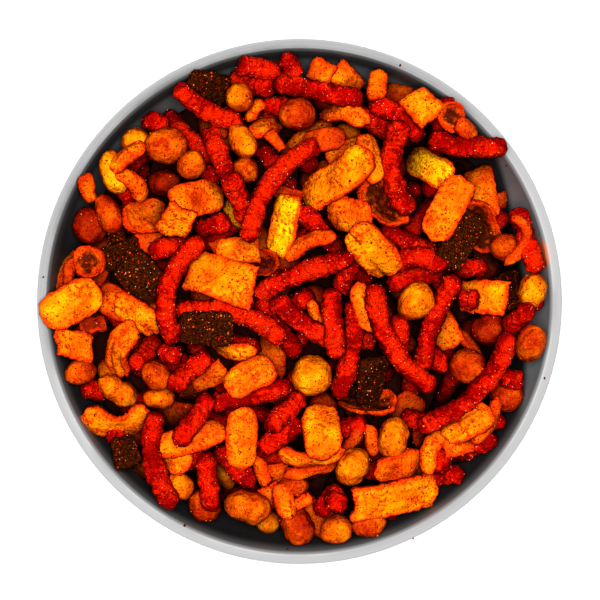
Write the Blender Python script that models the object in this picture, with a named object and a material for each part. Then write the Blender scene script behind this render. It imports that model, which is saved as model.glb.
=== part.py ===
"""Bowl heaped with a spicy trail mix: corn sticks, curled corn chips, coated nuts and dark rye chips.

Sizes are in millimetres and are turned into metres where a mesh is made. +Z is up. The origin is the centre
of the foot's underside, on the surface that the bowl stands on.
"""

import math
import random

import bmesh
import bpy
import numpy as np
from mathutils import Matrix

MM = 0.001

# Bowl. Its inner and outer walls are two superellipses round one centre, a wall's thickness apart.
BOWL_HEIGHT = 72.0
RIM_INNER_RADIUS = 105.0
WALL = 4.8
RIM_ROUND = 1.9
CURVE_CENTRE_HEIGHT = 98.0
CURVE_DEPTH = 90.0
CURVE_POWER = 2.3
FLOOR_HEIGHT = CURVE_CENTRE_HEIGHT - CURVE_DEPTH
FOOT_RADIUS = 44.0
FOOT_WIDTH = 4.0
FOOT_ROUND = 1.0
BOWL_SEGMENTS = 48

# Core of the heap: a dome that fills the bowl up to the pieces that show.
CORE_GAP = 0.8
CORE_EDGE_HEIGHT = 64.0
CORE_CROWN_HEIGHT = 67.0
CORE_SEGMENTS = 32

# The dome that the pieces below the ones that show come to rest on.
BED_EDGE_HEIGHT = 51.0
BED_CROWN_HEIGHT = 58.0

# What the pieces measure where the lists below don't say.
STICK_RADIUS = 4.2
CHIP_THICKNESS = 2.6
CHIP_TROUGH = 1.5
NUT_FLATNESS = 0.92
SLAB_THICKNESS = 3.2

# How pieces come to rest.
CELL = 1.5
FIELD_HALF = 127.5
BOWL_GAP = 0.8
SINK = 0.9
SLIDES = (0.0, 0.6, 1.2, 1.8, 2.4, 3.0, 3.6)
SLIDE_COST = 1.2
TOUCHING_SHARE = 0.965
NO_SUPPORT = -1000.0

# Pieces below the ones that show, spread evenly by a spiral.
HIDDEN_COUNT = 96
HIDDEN_REACH = 93.0
HIDDEN_SEED = 11
GOLDEN_ANGLE = math.pi * (3 - math.sqrt(5))

# Only pieces at least this long become part of the fused solid.
FUSED_LENGTH = 11.5

# Few-sided pieces are slimmer than real ones, so they sink this much further to stay joined.
FUSED_SINK = 1.0

# Length of a bend's or a curl's straight steps in the fused solid.
STICK_STEP = 17.0
CHIP_STEP = 9.5

# The pieces that show. x and y are from the bowl's axis, headings are from +X and turn towards +Y,
# and pieces on a higher layer lie on those of the layers below.
# Sticks: layer, x, y, heading, length, turn over the length.
STICKS = (
    (1, -10, 82, -10, 12, 0), (1, 35, 73, -30, 26, 10), (1, 72, 14, 0, 16, 0),
    (1, 42, -90, 50, 13, 0), (1, -89, -39, -25, 12, 0), (1, -81, -58, 0, 8, 0),
    (2, -47, 69, -48, 31, -10), (2, -35, 53, 12, 13, 0), (2, -60, 75, -30, 12, 0),
    (2, -12, 60, -50, 15, 0), (2, -20, 91, -20, 21, 0), (2, 46, 25, -24, 30, 5),
    (2, 48, 9, 12, 24, 25), (2, 75, -63, 25, 24, 5), (2, 62, -74, 12, 17, 0),
    (2, 13, -87, 43, 16, 0), (2, -65, -22, 51, 18, 0), (2, -54, -22, -10, 10, 0),
    (2, -73, 46, -50, 12, 0), (2, 21, -53, 10, 15, 0), (2, 59, -67, -70, 11, 0),
    (2, 85, 35, -45, 9, 0), (2, 0, 0, 35, 15, 0), (2, -46, -67, 30, 16, 0),
    (3, -39, 80, -29, 34, 40), (3, -34, 62, -68, 26, 10), (3, -25, 43, -67, 25, -10),
    (3, -17, 97, -9, 19, 0), (3, -4, 98, -60, 12, 0), (3, 41, 77, -35, 27, -45),
    (3, 15, 23, -48, 44, 0), (3, -9, -11, -54, 30, 0), (3, 19, 10, 70, 15, 0),
    (3, 26, -16, -5, 14, 0), (3, 42, -14, -85, 18, 0), (3, 57, -24, -45, 14, 0),
    (3, 49, 18, -5, 18, -50), (3, 90, -7, 50, 17, 0), (3, 97, 25, -73, 28, 10),
    (3, 15, -83, -15, 10, 0), (3, -27, -70, -48, 23, 10), (3, -20, -40, 16, 36, 20),
    (3, -8, -56, 35, 22, -15), (3, -53, 23, 8, 21, -30), (3, -27, -4, -14, 50, -75),
    (3, -36, 32, 18, 15, 0), (3, 49, -50, -20, 14, 0), (3, 33, -71, 12, 15, 0),
    (4, 8, 87, -11, 38, 5), (4, 38, 55, -85, 41, 78), (4, 68, 63, -3, 37, 30),
    (4, 1, 12, 22, 46, -18), (4, 2, -9, -33, 33, 28), (4, 22, -20, -100, 43, -30),
    (4, 56, -8, 70, 42, -31), (4, 70, 1, 0, 9, 0), (4, 88, -32, -15, 10, 0),
    (4, -38, -75, -84, 25, 0), (4, -63, -67, -80, 42, 44), (4, -6, -46, 43, 22, 0),
    (4, -46, -29, 42, 22, 0), (5, -13, 49, 55, 53, -75), (5, 14, -9, -84, 29, 5),
    (5, 37, -18, -60, 54, 62), (5, 73, -37, 47, 57, 70), (5, -44, -49, 56, 25, 0),
    (5, -54, 7, 75, 50, -61),
)
# Chips: layer, x, y, heading, length, width, arch over the length, roll about the length.
CHIPS = (
    (1, -87, -10, 8, 11, 7, 20, 0), (1, -66, -72, -50, 17, 8, 50, 40),
    (2, -15, 16, -5, 16, 11, 40, 180), (2, -62, 27, 40, 12, 11, 30, 0),
    (2, -100, 13, 72, 20, 7, 60, -62), (2, -95, 12, 80, 15, 7, 60, -60),
    (2, -94, -18, -14, 17, 12, 30, 0), (2, -52, -65, -40, 16, 12, 30, 0),
    (2, 66, -60, 12, 13, 9, 30, 0), (2, 72, -17, -50, 16, 6, 50, -55),
    (2, 92, 24, 85, 25, 7, 110, 60), (2, 88, 44, 8, 10, 7, 20, 0),
    (2, 62, 77, -20, 13, 12, 60, 170), (2, 69, 71, -35, 13, 6, 60, -50),
    (2, 42, 88, -20, 12, 9, 20, 0), (2, 20, 93, -40, 15, 11, 30, 0),
    (2, 9, 96, -30, 11, 10, 20, 0), (2, -14, 75, 22, 15, 12, 80, -40),
    (2, -19, 80, 55, 11, 5, 20, 0), (2, 3, 68, 35, 24, 9, 40, -20),
    (2, -27, 36, -55, 14, 6, 50, 40), (2, -5, 45, -20, 12, 6, 30, 0),
    (2, 67, 55, 10, 9, 6, 20, 0), (2, -16, -72, -80, 13, 6, 30, 30),
    (2, -12, -83, -75, 13, 9, 30, 0), (2, 1, -84, 25, 9, 5, 20, 0),
    (2, 30, -58, -80, 13, 5, 30, 40),
    (3, 22, 63, 20, 22, 12, 40, 0), (3, 34, 41, -42, 26, 17, 70, 180),
    (3, -65, 35, 12, 21, 15, 40, 165), (3, -69, 49, -50, 17, 8, 70, -55),
    (3, -88, 47, -80, 13, 6, 30, -30), (3, -88, 16, 45, 15, 14, 80, 150),
    (3, -79, 0, -30, 18, 13, 45, 0), (3, -77, -51, 0, 28, 11, 90, 50),
    (3, -45, -57, 14, 29, 11, 40, 0), (3, -38, -32, 25, 16, 10, 40, 0),
    (3, -28, -21, -8, 18, 10, 50, 30), (3, 13, -68, 30, 36, 10, 60, 65),
    (3, 30, -45, -6, 27, 13, 50, 160), (3, 42, -69, 10, 23, 12, 40, 0),
    (3, 80, -51, 62, 20, 8, 70, 55), (3, 55, -62, 70, 17, 9, 60, -45),
    (3, 61, -12, -60, 17, 12, 30, 0), (3, 77, 2, -3, 20, 14, 25, 0),
    (3, 7, -6, -58, 14, 7, 50, 40), (3, 54, 56, -32, 23, 13, 45, 0),
    (3, 77, 47, -85, 21, 13, 40, 0), (3, 76, 32, -65, 26, 15, 60, 180),
    (3, 50, 81, -50, 15, 13, 25, 0), (3, 32, 90, 85, 15, 8, 30, 0),
    (3, 18, 79, -12, 21, 11, 80, -45), (3, -10, 67, -50, 10, 5, 20, 0),
    (3, 10, 68, 12, 18, 10, 40, 0), (3, -34, 23, 20, 7, 6, 20, 0),
    (3, -6, -83, -72, 15, 7, 50, -35),
    (4, 30, 60, -78, 20, 9, 50, -35), (4, 20, 36, -12, 22, 14, 40, 0),
    (4, -7, 32, 78, 24, 12, 40, 0), (4, 3, 25, 25, 21, 10, 60, -50),
    (4, -26, 21, 5, 19, 12, 40, 0), (4, -42, 43, 14, 26, 14, 40, 0),
    (4, -72, 61, 38, 17, 8, 50, -30), (4, -95, -1, 27, 27, 16, 30, 0),
    (4, -68, -6, -35, 22, 12, 60, 20), (4, -76, -21, 72, 27, 11, 70, -30),
    (4, -21, -31, 28, 22, 14, 40, 0), (4, -24, -57, 88, 25, 13, 45, 0),
    (4, 5, -67, 8, 27, 10, 55, 55), (4, 40, -82, 10, 38, 15, 20, 0),
    (4, 69, -50, 28, 23, 13, 35, 0), (4, 27, -2, -75, 20, 7, 40, -40),
    (5, 14, 51, 35, 37, 15, 35, 0), (5, 30, 20, -50, 28, 16, 40, 0),
    (5, -33, 10, -17, 31, 18, 25, 0), (5, -51, 33, 60, 15, 13, 40, 0),
    (5, 9, -53, -88, 25, 15.5, 25, 0), (5, 61, 39, 62, 29, 14, 35, 0),
)
# Nuts: layer, x, y, heading, length, width.
NUTS = (
    (1, -14, -97, -20, 12, 10), (1, 15, -95, 20, 14, 12), (1, 29, -93, 5, 16, 11),
    (1, -32, -74, -60, 14, 9), (1, -2, -77, 0, 12, 9),
    (2, -57, 50, -10, 15, 12), (2, -69, 67, 0, 13, 12.5), (2, -78, 54, -72, 19, 12),
    (2, -92, -30, 0, 14, 11), (2, -77, -38, -35, 19, 12), (2, -59, -41, -5, 14, 10),
    (2, -60, -31, -50, 14, 11.5), (2, -50, -77, -60, 13, 11), (2, -40, -86, -50, 16, 13),
    (2, -1, -94, -70, 17, 14), (2, 79, -12, 0, 14.5, 14), (2, 96, 5, 80, 15, 12),
    (3, 90, -39, -70, 18, 14), (2, 21, 71, -20, 12, 9), (2, -23, 55, 0, 12, 11),
    (3, -25, 85, 0, 12, 12), (3, -1, 78, 0, 15, 14), (3, -24, 67, -60, 16, 11),
    (3, -45, 57, 0, 12, 11.5), (3, -92, 33, -80, 17, 14), (3, -80, 37, -65, 17, 11),
    (3, -22, -86, -12, 20, 15), (3, 39, -57, 78, 18, 13.5), (3, 95, -17, 72, 17, 13),
    (4, 87, 23, 0, 12, 12), (4, -56, 65, 15, 18, 15), (4, 22, -69, 62, 17, 13),
    (4, 48, 0, 50, 16.5, 14), (4, 70, -27, 0, 15, 14), (5, 5, -31, 20, 17.5, 16.5),
)
# Rye chips: layer, x, y, heading, length, width, roll about the length.
SLABS = (
    (1, -77, 29, -80, 13, 8, 20), (2, -39, 89, -12, 19, 15, 0), (2, -74, 20, 20, 20, 12, 15),
    (2, -73, -63, -70, 15, 11, 10), (2, 87, 4, -88, 19, 14, 65), (3, -66, 9, -50, 22, 18, 0),
    (4, -39, -11, -2, 23, 16, 0), (4, 30, -33, 85, 23, 13, 0), (4, 67, 26, 62, 26, 15, 0),
)


def curve_half_width(outward):
    """Half width of the wall's superellipse, a distance outward from the inner one."""
    share = ((CURVE_CENTRE_HEIGHT - BOWL_HEIGHT) / CURVE_DEPTH) ** CURVE_POWER
    return RIM_INNER_RADIUS / (1 - share) ** (1 / CURVE_POWER) + outward


def curve_radius(height, outward=0.0):
    share = (CURVE_CENTRE_HEIGHT - height) / (CURVE_DEPTH + outward)
    return curve_half_width(outward) * max(0.0, 1 - share**CURVE_POWER) ** (1 / CURVE_POWER)


def curve_height(radius, outward=0.0):
    share = np.clip(np.asarray(radius, float) / curve_half_width(outward), 0, 1) ** CURVE_POWER
    return CURVE_CENTRE_HEIGHT - (CURVE_DEPTH + outward) * (1 - share) ** (1 / CURVE_POWER)


def curve_points(low, high, count, outward=0.0):
    """Points (radius, height) up the wall's curve, about evenly spaced along it."""
    depth, reach = CURVE_DEPTH + outward, curve_half_width(outward)
    shares = (min(1.0, (CURVE_CENTRE_HEIGHT - z) / depth) for z in (low, high))
    ends = [math.acos(share ** (CURVE_POWER / 2)) for share in shares]
    turns = np.linspace(*ends, count)
    radii = reach * np.sin(turns) ** (2 / CURVE_POWER)
    heights = CURVE_CENTRE_HEIGHT - depth * np.cos(turns) ** (2 / CURVE_POWER)
    return list(zip(radii.tolist(), heights.tolist()))


def corner(centre, radius, start, end, steps=3):
    """Points of an arc in the profile's plane, with angles in degrees from the outward direction."""
    angles = (math.radians(start + (end - start) * i / steps) for i in range(steps + 1))
    return [(centre[0] + radius * math.cos(a), centre[1] + radius * math.sin(a)) for a in angles]


def turned(name, profile, segments):
    """A solid turned round the Z axis from a profile that starts and ends on it."""
    shape = bmesh.new()
    verts = [shape.verts.new((r * MM, 0, z * MM)) for r, z in profile]
    edges = [shape.edges.new(pair) for pair in zip(verts, verts[1:])]
    bmesh.ops.spin(
        shape, geom=verts + edges, cent=(0, 0, 0), axis=(0, 0, 1), angle=2 * math.pi, steps=segments
    )
    bmesh.ops.remove_doubles(shape, verts=shape.verts, dist=0.01 * MM)
    bmesh.ops.recalc_face_normals(shape, faces=shape.faces)
    return as_object(name, shape)


def as_object(name, shape):
    mesh = bpy.data.meshes.new(name)
    shape.to_mesh(mesh)
    shape.free()
    made = bpy.data.objects.new(name, mesh)
    bpy.context.scene.collection.objects.link(made)
    return made


def bowl_profile():
    inner = curve_points(FLOOR_HEIGHT, BOWL_HEIGHT - RIM_ROUND, 10)
    rim_inner = corner((inner[-1][0] + RIM_ROUND, BOWL_HEIGHT - RIM_ROUND), RIM_ROUND, 150, 90, 2)
    rim_centre = curve_radius(BOWL_HEIGHT, WALL) - RIM_ROUND
    rim_outer = corner((rim_centre, BOWL_HEIGHT - RIM_ROUND), RIM_ROUND, 90, 10, 2)
    shoulder = float(curve_height(FOOT_RADIUS, WALL))
    outer = curve_points(shoulder, BOWL_HEIGHT - 2 * RIM_ROUND, 6, WALL)[::-1]
    foot_outer = corner((FOOT_RADIUS - FOOT_ROUND, FOOT_ROUND), FOOT_ROUND, 0, -90, 1)
    foot_inner_radius = FOOT_RADIUS - FOOT_WIDTH
    foot_inner = corner((foot_inner_radius + FOOT_ROUND, FOOT_ROUND), FOOT_ROUND, -90, -180, 1)
    across = (foot_inner_radius, foot_inner_radius / 2, 0.0)
    underside = [(r, float(curve_height(r, WALL))) for r in across]
    return inner + rim_inner + rim_outer + outer + foot_outer + foot_inner + underside


def dome_height(radius, edge_height, crown_height):
    """Height of a dome that meets the bowl at its edge and is highest on the axis."""
    reach = curve_radius(edge_height) - CORE_GAP
    return edge_height + (crown_height - edge_height) * (1 - (radius / reach) ** 2)


def core_profile():
    wall = curve_points(FLOOR_HEIGHT + CORE_GAP, CORE_EDGE_HEIGHT, 8, -CORE_GAP)
    across = [wall[-1][0] * share for share in (0.85, 0.65, 0.4, 0.2, 0.0)]
    return wall + [(r, dome_height(r, CORE_EDGE_HEIGHT, CORE_CROWN_HEIGHT)) for r in across]


def bent(points, turn, along, side):
    """Turns a straight shape along X into an arc. It curves towards its +side axis through turn degrees."""
    angle = math.radians(turn)
    length = np.ptp(points[:, along])
    if abs(angle) < 0.01:
        return points
    radius = length / angle
    theta = points[:, along] / radius
    reach = radius - points[:, side]
    curved = points.copy()
    curved[:, along] = np.sin(theta) * reach
    curved[:, side] = radius - np.cos(theta) * reach
    return curved


def stick_form(blank, length, turn):
    """Bent extruded stick with slightly narrowed ends, from a unit cylinder along X."""
    radius = STICK_RADIUS * (1 - 0.18 * np.clip((np.abs(blank[:, 0]) - 0.4) / 0.1, 0, 1))
    form = np.column_stack((blank[:, 0] * length, blank[:, 1] * radius, blank[:, 2] * radius))
    return bent(form, turn, 0, 1)


def chip_form(blank, length, width, arch):
    """Corn chip from a unit box: narrower and curled down at its ends, and hollow across its width."""
    narrowing = 1 - 0.28 * np.clip((np.abs(blank[:, 0]) - 0.25) / 0.25, 0, 1) ** 2
    form = np.column_stack(
        (
            blank[:, 0] * length,
            blank[:, 1] * width * narrowing,
            blank[:, 2] * CHIP_THICKNESS - CHIP_TROUGH * (2 * blank[:, 1]) ** 2,
        )
    )
    return bent(form, -arch, 0, 2)


def nut_form(blank, length, width):
    """Coated nut from a unit sphere, blunter at one end."""
    egg = 1 + 0.08 * blank[:, 0]
    across, up = blank[:, 1] * width * egg, blank[:, 2] * width * egg * NUT_FLATNESS
    return np.column_stack((blank[:, 0] * length, across, up)) / 2


def slab_form(blank, length, width):
    """Broken piece of flat rye chip from a unit box, wider at one end and slightly warped."""
    taper = 1 + 0.22 * blank[:, 0]
    warp = 0.8 * np.sin(3 * blank[:, 0] + 2 * blank[:, 1])
    across, up = blank[:, 1] * width * taper, blank[:, 2] * SLAB_THICKNESS + warp
    return np.column_stack((blank[:, 0] * length, across, up))


def turn_about(axis, degrees):
    return np.array(Matrix.Rotation(math.radians(degrees), 3, axis))


def cylinder_blank(length):
    """Points over a unit cylinder, about as close together as the field's cells."""
    along = np.linspace(-0.5, 0.5, max(6, int(length / 1.2)))
    around = np.linspace(0, 2 * math.pi, 14, endpoint=False)
    x, a = (grid.ravel() for grid in np.meshgrid(along, around))
    return np.column_stack((x, np.cos(a), np.sin(a)))


def box_blank(length, width):
    across = [np.linspace(-0.5, 0.5, max(5, int(size / 1.2))) for size in (length, width)]
    x, y, z = (grid.ravel() for grid in np.meshgrid(*across, (-0.5, 0.5)))
    return np.column_stack((x, y, z))


def sphere_blank():
    index = np.arange(220) + 0.5
    z = 1 - index / 110
    angle = index * GOLDEN_ANGLE
    flat = np.sqrt(1 - z * z)
    return np.column_stack((flat * np.cos(angle), flat * np.sin(angle), z))


def shown_pieces():
    """Every listed piece as (layer, kind, place, sizes, roll), lowest layer first."""
    found = [(row[0], "stick", row[1:4], row[4:6], 0) for row in STICKS]
    found += [(row[0], "slab", row[1:4], row[4:6], row[6]) for row in SLABS]
    found += [(row[0], "nut", row[1:4], row[4:6], 0) for row in NUTS]
    found += [(row[0], "chip", row[1:4], row[4:7], row[7]) for row in CHIPS]
    return sorted(found, key=lambda piece: piece[0])


def hidden_pieces():
    """Pieces of every kind below the ones that show, evenly spread with their headings drawn at random."""
    draw = random.Random(HIDDEN_SEED)
    found = []
    for index in range(HIDDEN_COUNT):
        reach = HIDDEN_REACH * math.sqrt((index + 0.5) / HIDDEN_COUNT)
        angle = index * GOLDEN_ANGLE
        place = (reach * math.cos(angle), reach * math.sin(angle), draw.uniform(0, 360))
        kind = draw.choice(("stick", "stick", "chip", "chip", "nut"))
        size = draw.uniform(0, 1)
        sizes = {
            "stick": (20 + 16 * size, draw.uniform(-50, 50)),
            "chip": (18 + 12 * size, 11 + 4 * size, 45),
            "nut": (13 + 4 * size, 12 + 2 * size),
        }[kind]
        found.append((0, kind, place, sizes, draw.choice((0, 0, 180))))
    return found


def form_points(kind, sizes):
    if kind == "stick":
        return stick_form(cylinder_blank(sizes[0]), *sizes)
    if kind == "chip":
        return chip_form(box_blank(*sizes[:2]), *sizes)
    if kind == "slab":
        return slab_form(box_blank(*sizes), *sizes)
    return nut_form(sphere_blank(), *sizes)


def bowl_support(points):
    """Height of the bowl under or beside each point: its inner wall, then its rim, then nothing."""
    radius = np.hypot(points[:, 0], points[:, 1])
    inside = curve_height(radius + BOWL_GAP)
    rim = np.where(radius < RIM_INNER_RADIUS + WALL + BOWL_GAP, BOWL_HEIGHT, NO_SUPPORT)
    return np.where(radius < RIM_INNER_RADIUS - BOWL_GAP, inside, rim) + BOWL_GAP


def cells_of(points):
    cells = ((points[:, :2] + FIELD_HALF) / CELL).astype(int)
    return cells[:, 0], cells[:, 1]


def lifts(points, field):
    """How far up points go to lie sunk a little in the heap so far, and to be clear of the bowl."""
    on_heap = np.quantile(field[cells_of(points)] - points[:, 2], TOUCHING_SHARE) - SINK
    return on_heap, float(np.max(bowl_support(points) - points[:, 2]))


def rest(kind, place, sizes, roll, field):
    """Lets a piece down onto the heap at its place.

    Of the tilts tried, the one with the piece's middle lowest is kept, as a loose piece would settle.
    A piece that the bowl's wall holds up then slides inwards for as long as that takes it down.
    Returns its turn, its location and its way down to the bowl.
    """
    x, y, heading = place
    form = form_points(kind, sizes)
    best = None
    centre, step = (0.0, 0.0), 8.0
    for _ in range(3):
        for i in range(-3, 4):
            for j in range(-2, 3):
                pitch, side = centre[0] + i * step, centre[1] + j * step
                turn = turn_about("Z", heading) @ turn_about("Y", pitch) @ turn_about("X", roll + side)
                points = form @ turn.T + (x, y, 0)
                cost = max(lifts(points, field)) + 0.02 * (abs(pitch) + abs(side))
                if best is None or cost < best[0]:
                    best = (cost, pitch, side, turn, points)
        centre, step = best[1:3], step / 3
    turn, points = best[3:5]
    inwards = -np.array((x, y, 0.0)) / max(1.0, math.hypot(x, y))
    slid = min(SLIDES, key=lambda s: max(lifts(points + s * inwards, field)) + SLIDE_COST * s)
    points = points + slid * inwards
    on_heap, on_bowl = lifts(points, field)
    height = max(on_heap, on_bowl)
    points[:, 2] += height
    np.maximum.at(field, cells_of(points), points[:, 2])
    location = np.array((x, y, height)) + slid * inwards
    return turn, location, height - on_bowl


def settled_heap():
    """Every piece at rest, from the bottom of the heap up.

    Each is (kind, sizes, turn, location, way down to the bowl, hidden).
    """
    count = int(2 * FIELD_HALF / CELL)
    across = (np.arange(count) + 0.5) * CELL - FIELD_HALF
    radius = np.hypot(*np.meshgrid(across, across, indexing="ij"))
    bed = dome_height(radius, BED_EDGE_HEIGHT, BED_CROWN_HEIGHT)
    field = np.where(radius < curve_radius(BED_EDGE_HEIGHT), bed, NO_SUPPORT)
    placed = []
    for layer, kind, place, sizes, roll in hidden_pieces() + shown_pieces():
        turn, location, way_down = rest(kind, place, sizes, roll, field)
        placed.append((kind, sizes, turn, location, way_down, layer == 0))
    return placed


def blank_mesh(kind, sizes):
    """The few-sided blank that each kind of piece is formed from."""
    shape = bmesh.new()
    if kind == "nut":
        bmesh.ops.create_uvsphere(shape, u_segments=7, v_segments=5, radius=1.0)
    elif kind == "stick":
        bmesh.ops.create_cone(shape, cap_ends=True, segments=6, radius1=1.0, radius2=1.0, depth=1.0)
        sides = [e for e in shape.edges if abs(e.verts[0].co.z - e.verts[1].co.z) > 0.5]
        cuts = max(1, round(sizes[0] / STICK_STEP))
        bmesh.ops.subdivide_edges(shape, edges=sides, cuts=cuts, use_grid_fill=True)
        bmesh.ops.rotate(shape, verts=shape.verts, matrix=Matrix.Rotation(math.pi / 2, 3, "Y"))
    else:
        cuts = (max(2, round(sizes[0] / CHIP_STEP)), 2)
        bmesh.ops.create_grid(shape, x_segments=cuts[0], y_segments=cuts[1], size=0.5)
        bmesh.ops.translate(shape, verts=shape.verts, vec=(0, 0, -0.5))
        top = bmesh.ops.extrude_face_region(shape, geom=shape.faces[:], use_keep_orig=True)
        lifted = [g for g in top["geom"] if isinstance(g, bmesh.types.BMVert)]
        bmesh.ops.translate(shape, verts=lifted, vec=(0, 0, 1.0))
        bmesh.ops.recalc_face_normals(shape, faces=shape.faces)
    return shape


def piece_object(name, kind, sizes, turn, location):
    shape = blank_mesh(kind, sizes)
    blank = np.array([v.co for v in shape.verts])
    form = {"stick": stick_form, "chip": chip_form, "nut": nut_form, "slab": slab_form}[kind]
    placed = form(blank, *sizes) @ turn.T + location
    for vert, co in zip(shape.verts, placed):
        vert.co = co * MM
    bmesh.ops.recalc_face_normals(shape, faces=shape.faces)
    return as_object(name, shape)


def keep_main_body(mesh):
    """Drops loose scraps and fills sealed hollows, by keeping only the surface with the most faces."""
    shape = bmesh.new()
    shape.from_mesh(mesh)
    unseen = set(shape.faces)
    bodies = []
    while unseen:
        body, to_search = [], [unseen.pop()]
        while to_search:
            face = to_search.pop()
            body.append(face)
            near = {other for edge in face.edges for other in edge.link_faces} & unseen
            unseen -= near
            to_search.extend(near)
        bodies.append(body)
    bodies.sort(key=len)
    for scrap in bodies[:-1]:
        bmesh.ops.delete(shape, geom=scrap, context="FACES")
    shape.to_mesh(mesh)
    shape.free()


def fused_heap():
    """The core with the pieces that show joined to it as one solid."""
    core = turned("trail_mix", core_profile(), CORE_SEGMENTS)
    pieces = bpy.data.collections.new("pieces")
    bpy.context.scene.collection.children.link(pieces)
    for index, (kind, sizes, turn, location, way_down, hidden) in enumerate(settled_heap()):
        if hidden or sizes[0] < FUSED_LENGTH:
            continue
        sunk = location - (0, 0, min(way_down, FUSED_SINK))
        piece = piece_object(f"piece_{index}", kind, sizes, turn, sunk)
        bpy.context.scene.collection.objects.unlink(piece)
        pieces.objects.link(piece)
    union = core.modifiers.new("fuse", "BOOLEAN")
    union.operation = "UNION"
    union.operand_type = "COLLECTION"
    union.collection = pieces
    union.solver = "EXACT"
    bpy.context.view_layer.update()
    graph = bpy.context.evaluated_depsgraph_get()
    fused = bpy.data.meshes.new_from_object(core.evaluated_get(graph))
    core.modifiers.clear()
    core.data = fused
    for piece in list(pieces.objects):
        bpy.data.objects.remove(piece)
    bpy.data.collections.remove(pieces)
    keep_main_body(fused)
    return core


def finish(name, colour, roughness):
    material = bpy.data.materials.new(name)
    material.use_nodes = True
    shader = material.node_tree.nodes["Principled BSDF"]
    shader.inputs["Base Color"].default_value = (*colour, 1)
    shader.inputs["Roughness"].default_value = roughness
    shader.inputs["Metallic"].default_value = 0.0
    return material


def main():
    for old in list(bpy.data.objects):
        bpy.data.objects.remove(old)
    bowl = turned("bowl", bowl_profile(), BOWL_SEGMENTS)
    bowl.data.shade_smooth()
    bowl.data.set_sharp_from_angle(angle=math.radians(40))
    bowl.data.materials.append(finish("pale_grey_glaze", (0.62, 0.62, 0.62), 0.35))
    heap = fused_heap()
    heap.data.materials.clear()
    heap.data.materials.append(finish("spiced_corn", (0.80, 0.20, 0.02), 0.8))


main()
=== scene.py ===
# A grey bowl heaped with red corn sticks, curled corn chips, coated nuts and dark rye chips.
# The heap is worked out in millimetres and made in metres. +Z is up, +Y is the top of the picture.
import math
import random

import bpy
import numpy as np
from mathutils import Matrix, Vector
from mathutils.bvhtree import BVHTree


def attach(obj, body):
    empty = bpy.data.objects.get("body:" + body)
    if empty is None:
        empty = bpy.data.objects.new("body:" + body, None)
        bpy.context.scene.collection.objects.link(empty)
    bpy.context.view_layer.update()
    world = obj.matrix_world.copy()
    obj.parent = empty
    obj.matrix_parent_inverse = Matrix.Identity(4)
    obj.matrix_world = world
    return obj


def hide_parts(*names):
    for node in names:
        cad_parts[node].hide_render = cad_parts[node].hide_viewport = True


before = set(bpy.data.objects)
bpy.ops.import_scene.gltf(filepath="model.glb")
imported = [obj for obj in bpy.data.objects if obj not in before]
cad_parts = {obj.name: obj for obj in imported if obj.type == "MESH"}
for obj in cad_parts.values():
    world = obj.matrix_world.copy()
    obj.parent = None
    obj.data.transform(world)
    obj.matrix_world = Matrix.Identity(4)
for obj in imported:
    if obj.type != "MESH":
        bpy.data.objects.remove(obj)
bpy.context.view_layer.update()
mm = 0.001


def say(stage):
    print("trail mix:", stage, flush=True)


# Modelling by hand: a primitive is added on its own and shaped in edit mode.
def startPiece(name, addPrimitive, **settings):
    bpy.ops.object.select_all(action="DESELECT")
    addPrimitive(**settings)
    piece = bpy.context.active_object
    piece.name = piece.data.name = name
    bpy.ops.object.mode_set(mode="EDIT")
    bpy.ops.mesh.select_all(action="SELECT")
    return piece


def closePiece(piece):  # back to object mode, merged and facing outwards
    bpy.ops.mesh.select_all(action="SELECT")
    bpy.ops.mesh.remove_doubles(threshold=0.00001)
    bpy.ops.mesh.normals_make_consistent(inside=False)
    bpy.ops.object.mode_set(mode="OBJECT")
    return piece


def applied(piece, kind, **settings):  # adds a modifier, sets it and applies it
    bpy.context.view_layer.objects.active = piece
    modifier = piece.modifiers.new(kind.title(), kind)
    for key, value in settings.items():
        setattr(modifier, key, value)
    bpy.ops.object.modifier_apply(modifier=modifier.name)
    return piece


def roughened(piece, size, strength):  # lumps of one size, in mm
    pattern = bpy.data.textures.new(f"{piece.name} {size}", "CLOUDS")
    pattern.noise_scale = size * mm
    pattern.noise_depth = 2
    settings = {"texture": pattern, "strength": strength * mm, "mid_level": 0.5, "texture_coords": "LOCAL"}
    return applied(piece, "DISPLACE", **settings)


def dressed(piece, node, finish, *replaced):  # what every finished piece is told
    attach(piece, "root")
    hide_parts(*replaced)
    piece.data.materials.clear()
    piece.data.materials.append(finish)
    bpy.ops.object.select_all(action="DESELECT")
    piece.select_set(True)
    bpy.context.view_layer.objects.active = piece
    bpy.ops.object.shade_smooth()
    say(f"{piece.name} has {sum(len(f.vertices) - 2 for f in piece.data.polygons)} triangles")
    return piece


# Shader maths reads as an expression on wires.
class Wire:
    def __init__(self, finish, socket):
        self.finish, self.socket = finish, socket

    def calc(self, operation, *values):
        return self.finish.add("ShaderNodeMath", {"operation": operation}, dict(enumerate(values)))

    def __add__(self, other):
        return self.calc("ADD", self, other)

    def __sub__(self, other):
        return self.calc("SUBTRACT", self, other)

    def __rsub__(self, other):
        return self.calc("SUBTRACT", other, self)

    def __mul__(self, other):
        return self.calc("MULTIPLY", self, other)

    def __pow__(self, other):
        return self.calc("POWER", self, other)

    def __lt__(self, other):
        return self.calc("LESS_THAN", self, other)

    __radd__, __rmul__ = __add__, __mul__


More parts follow.
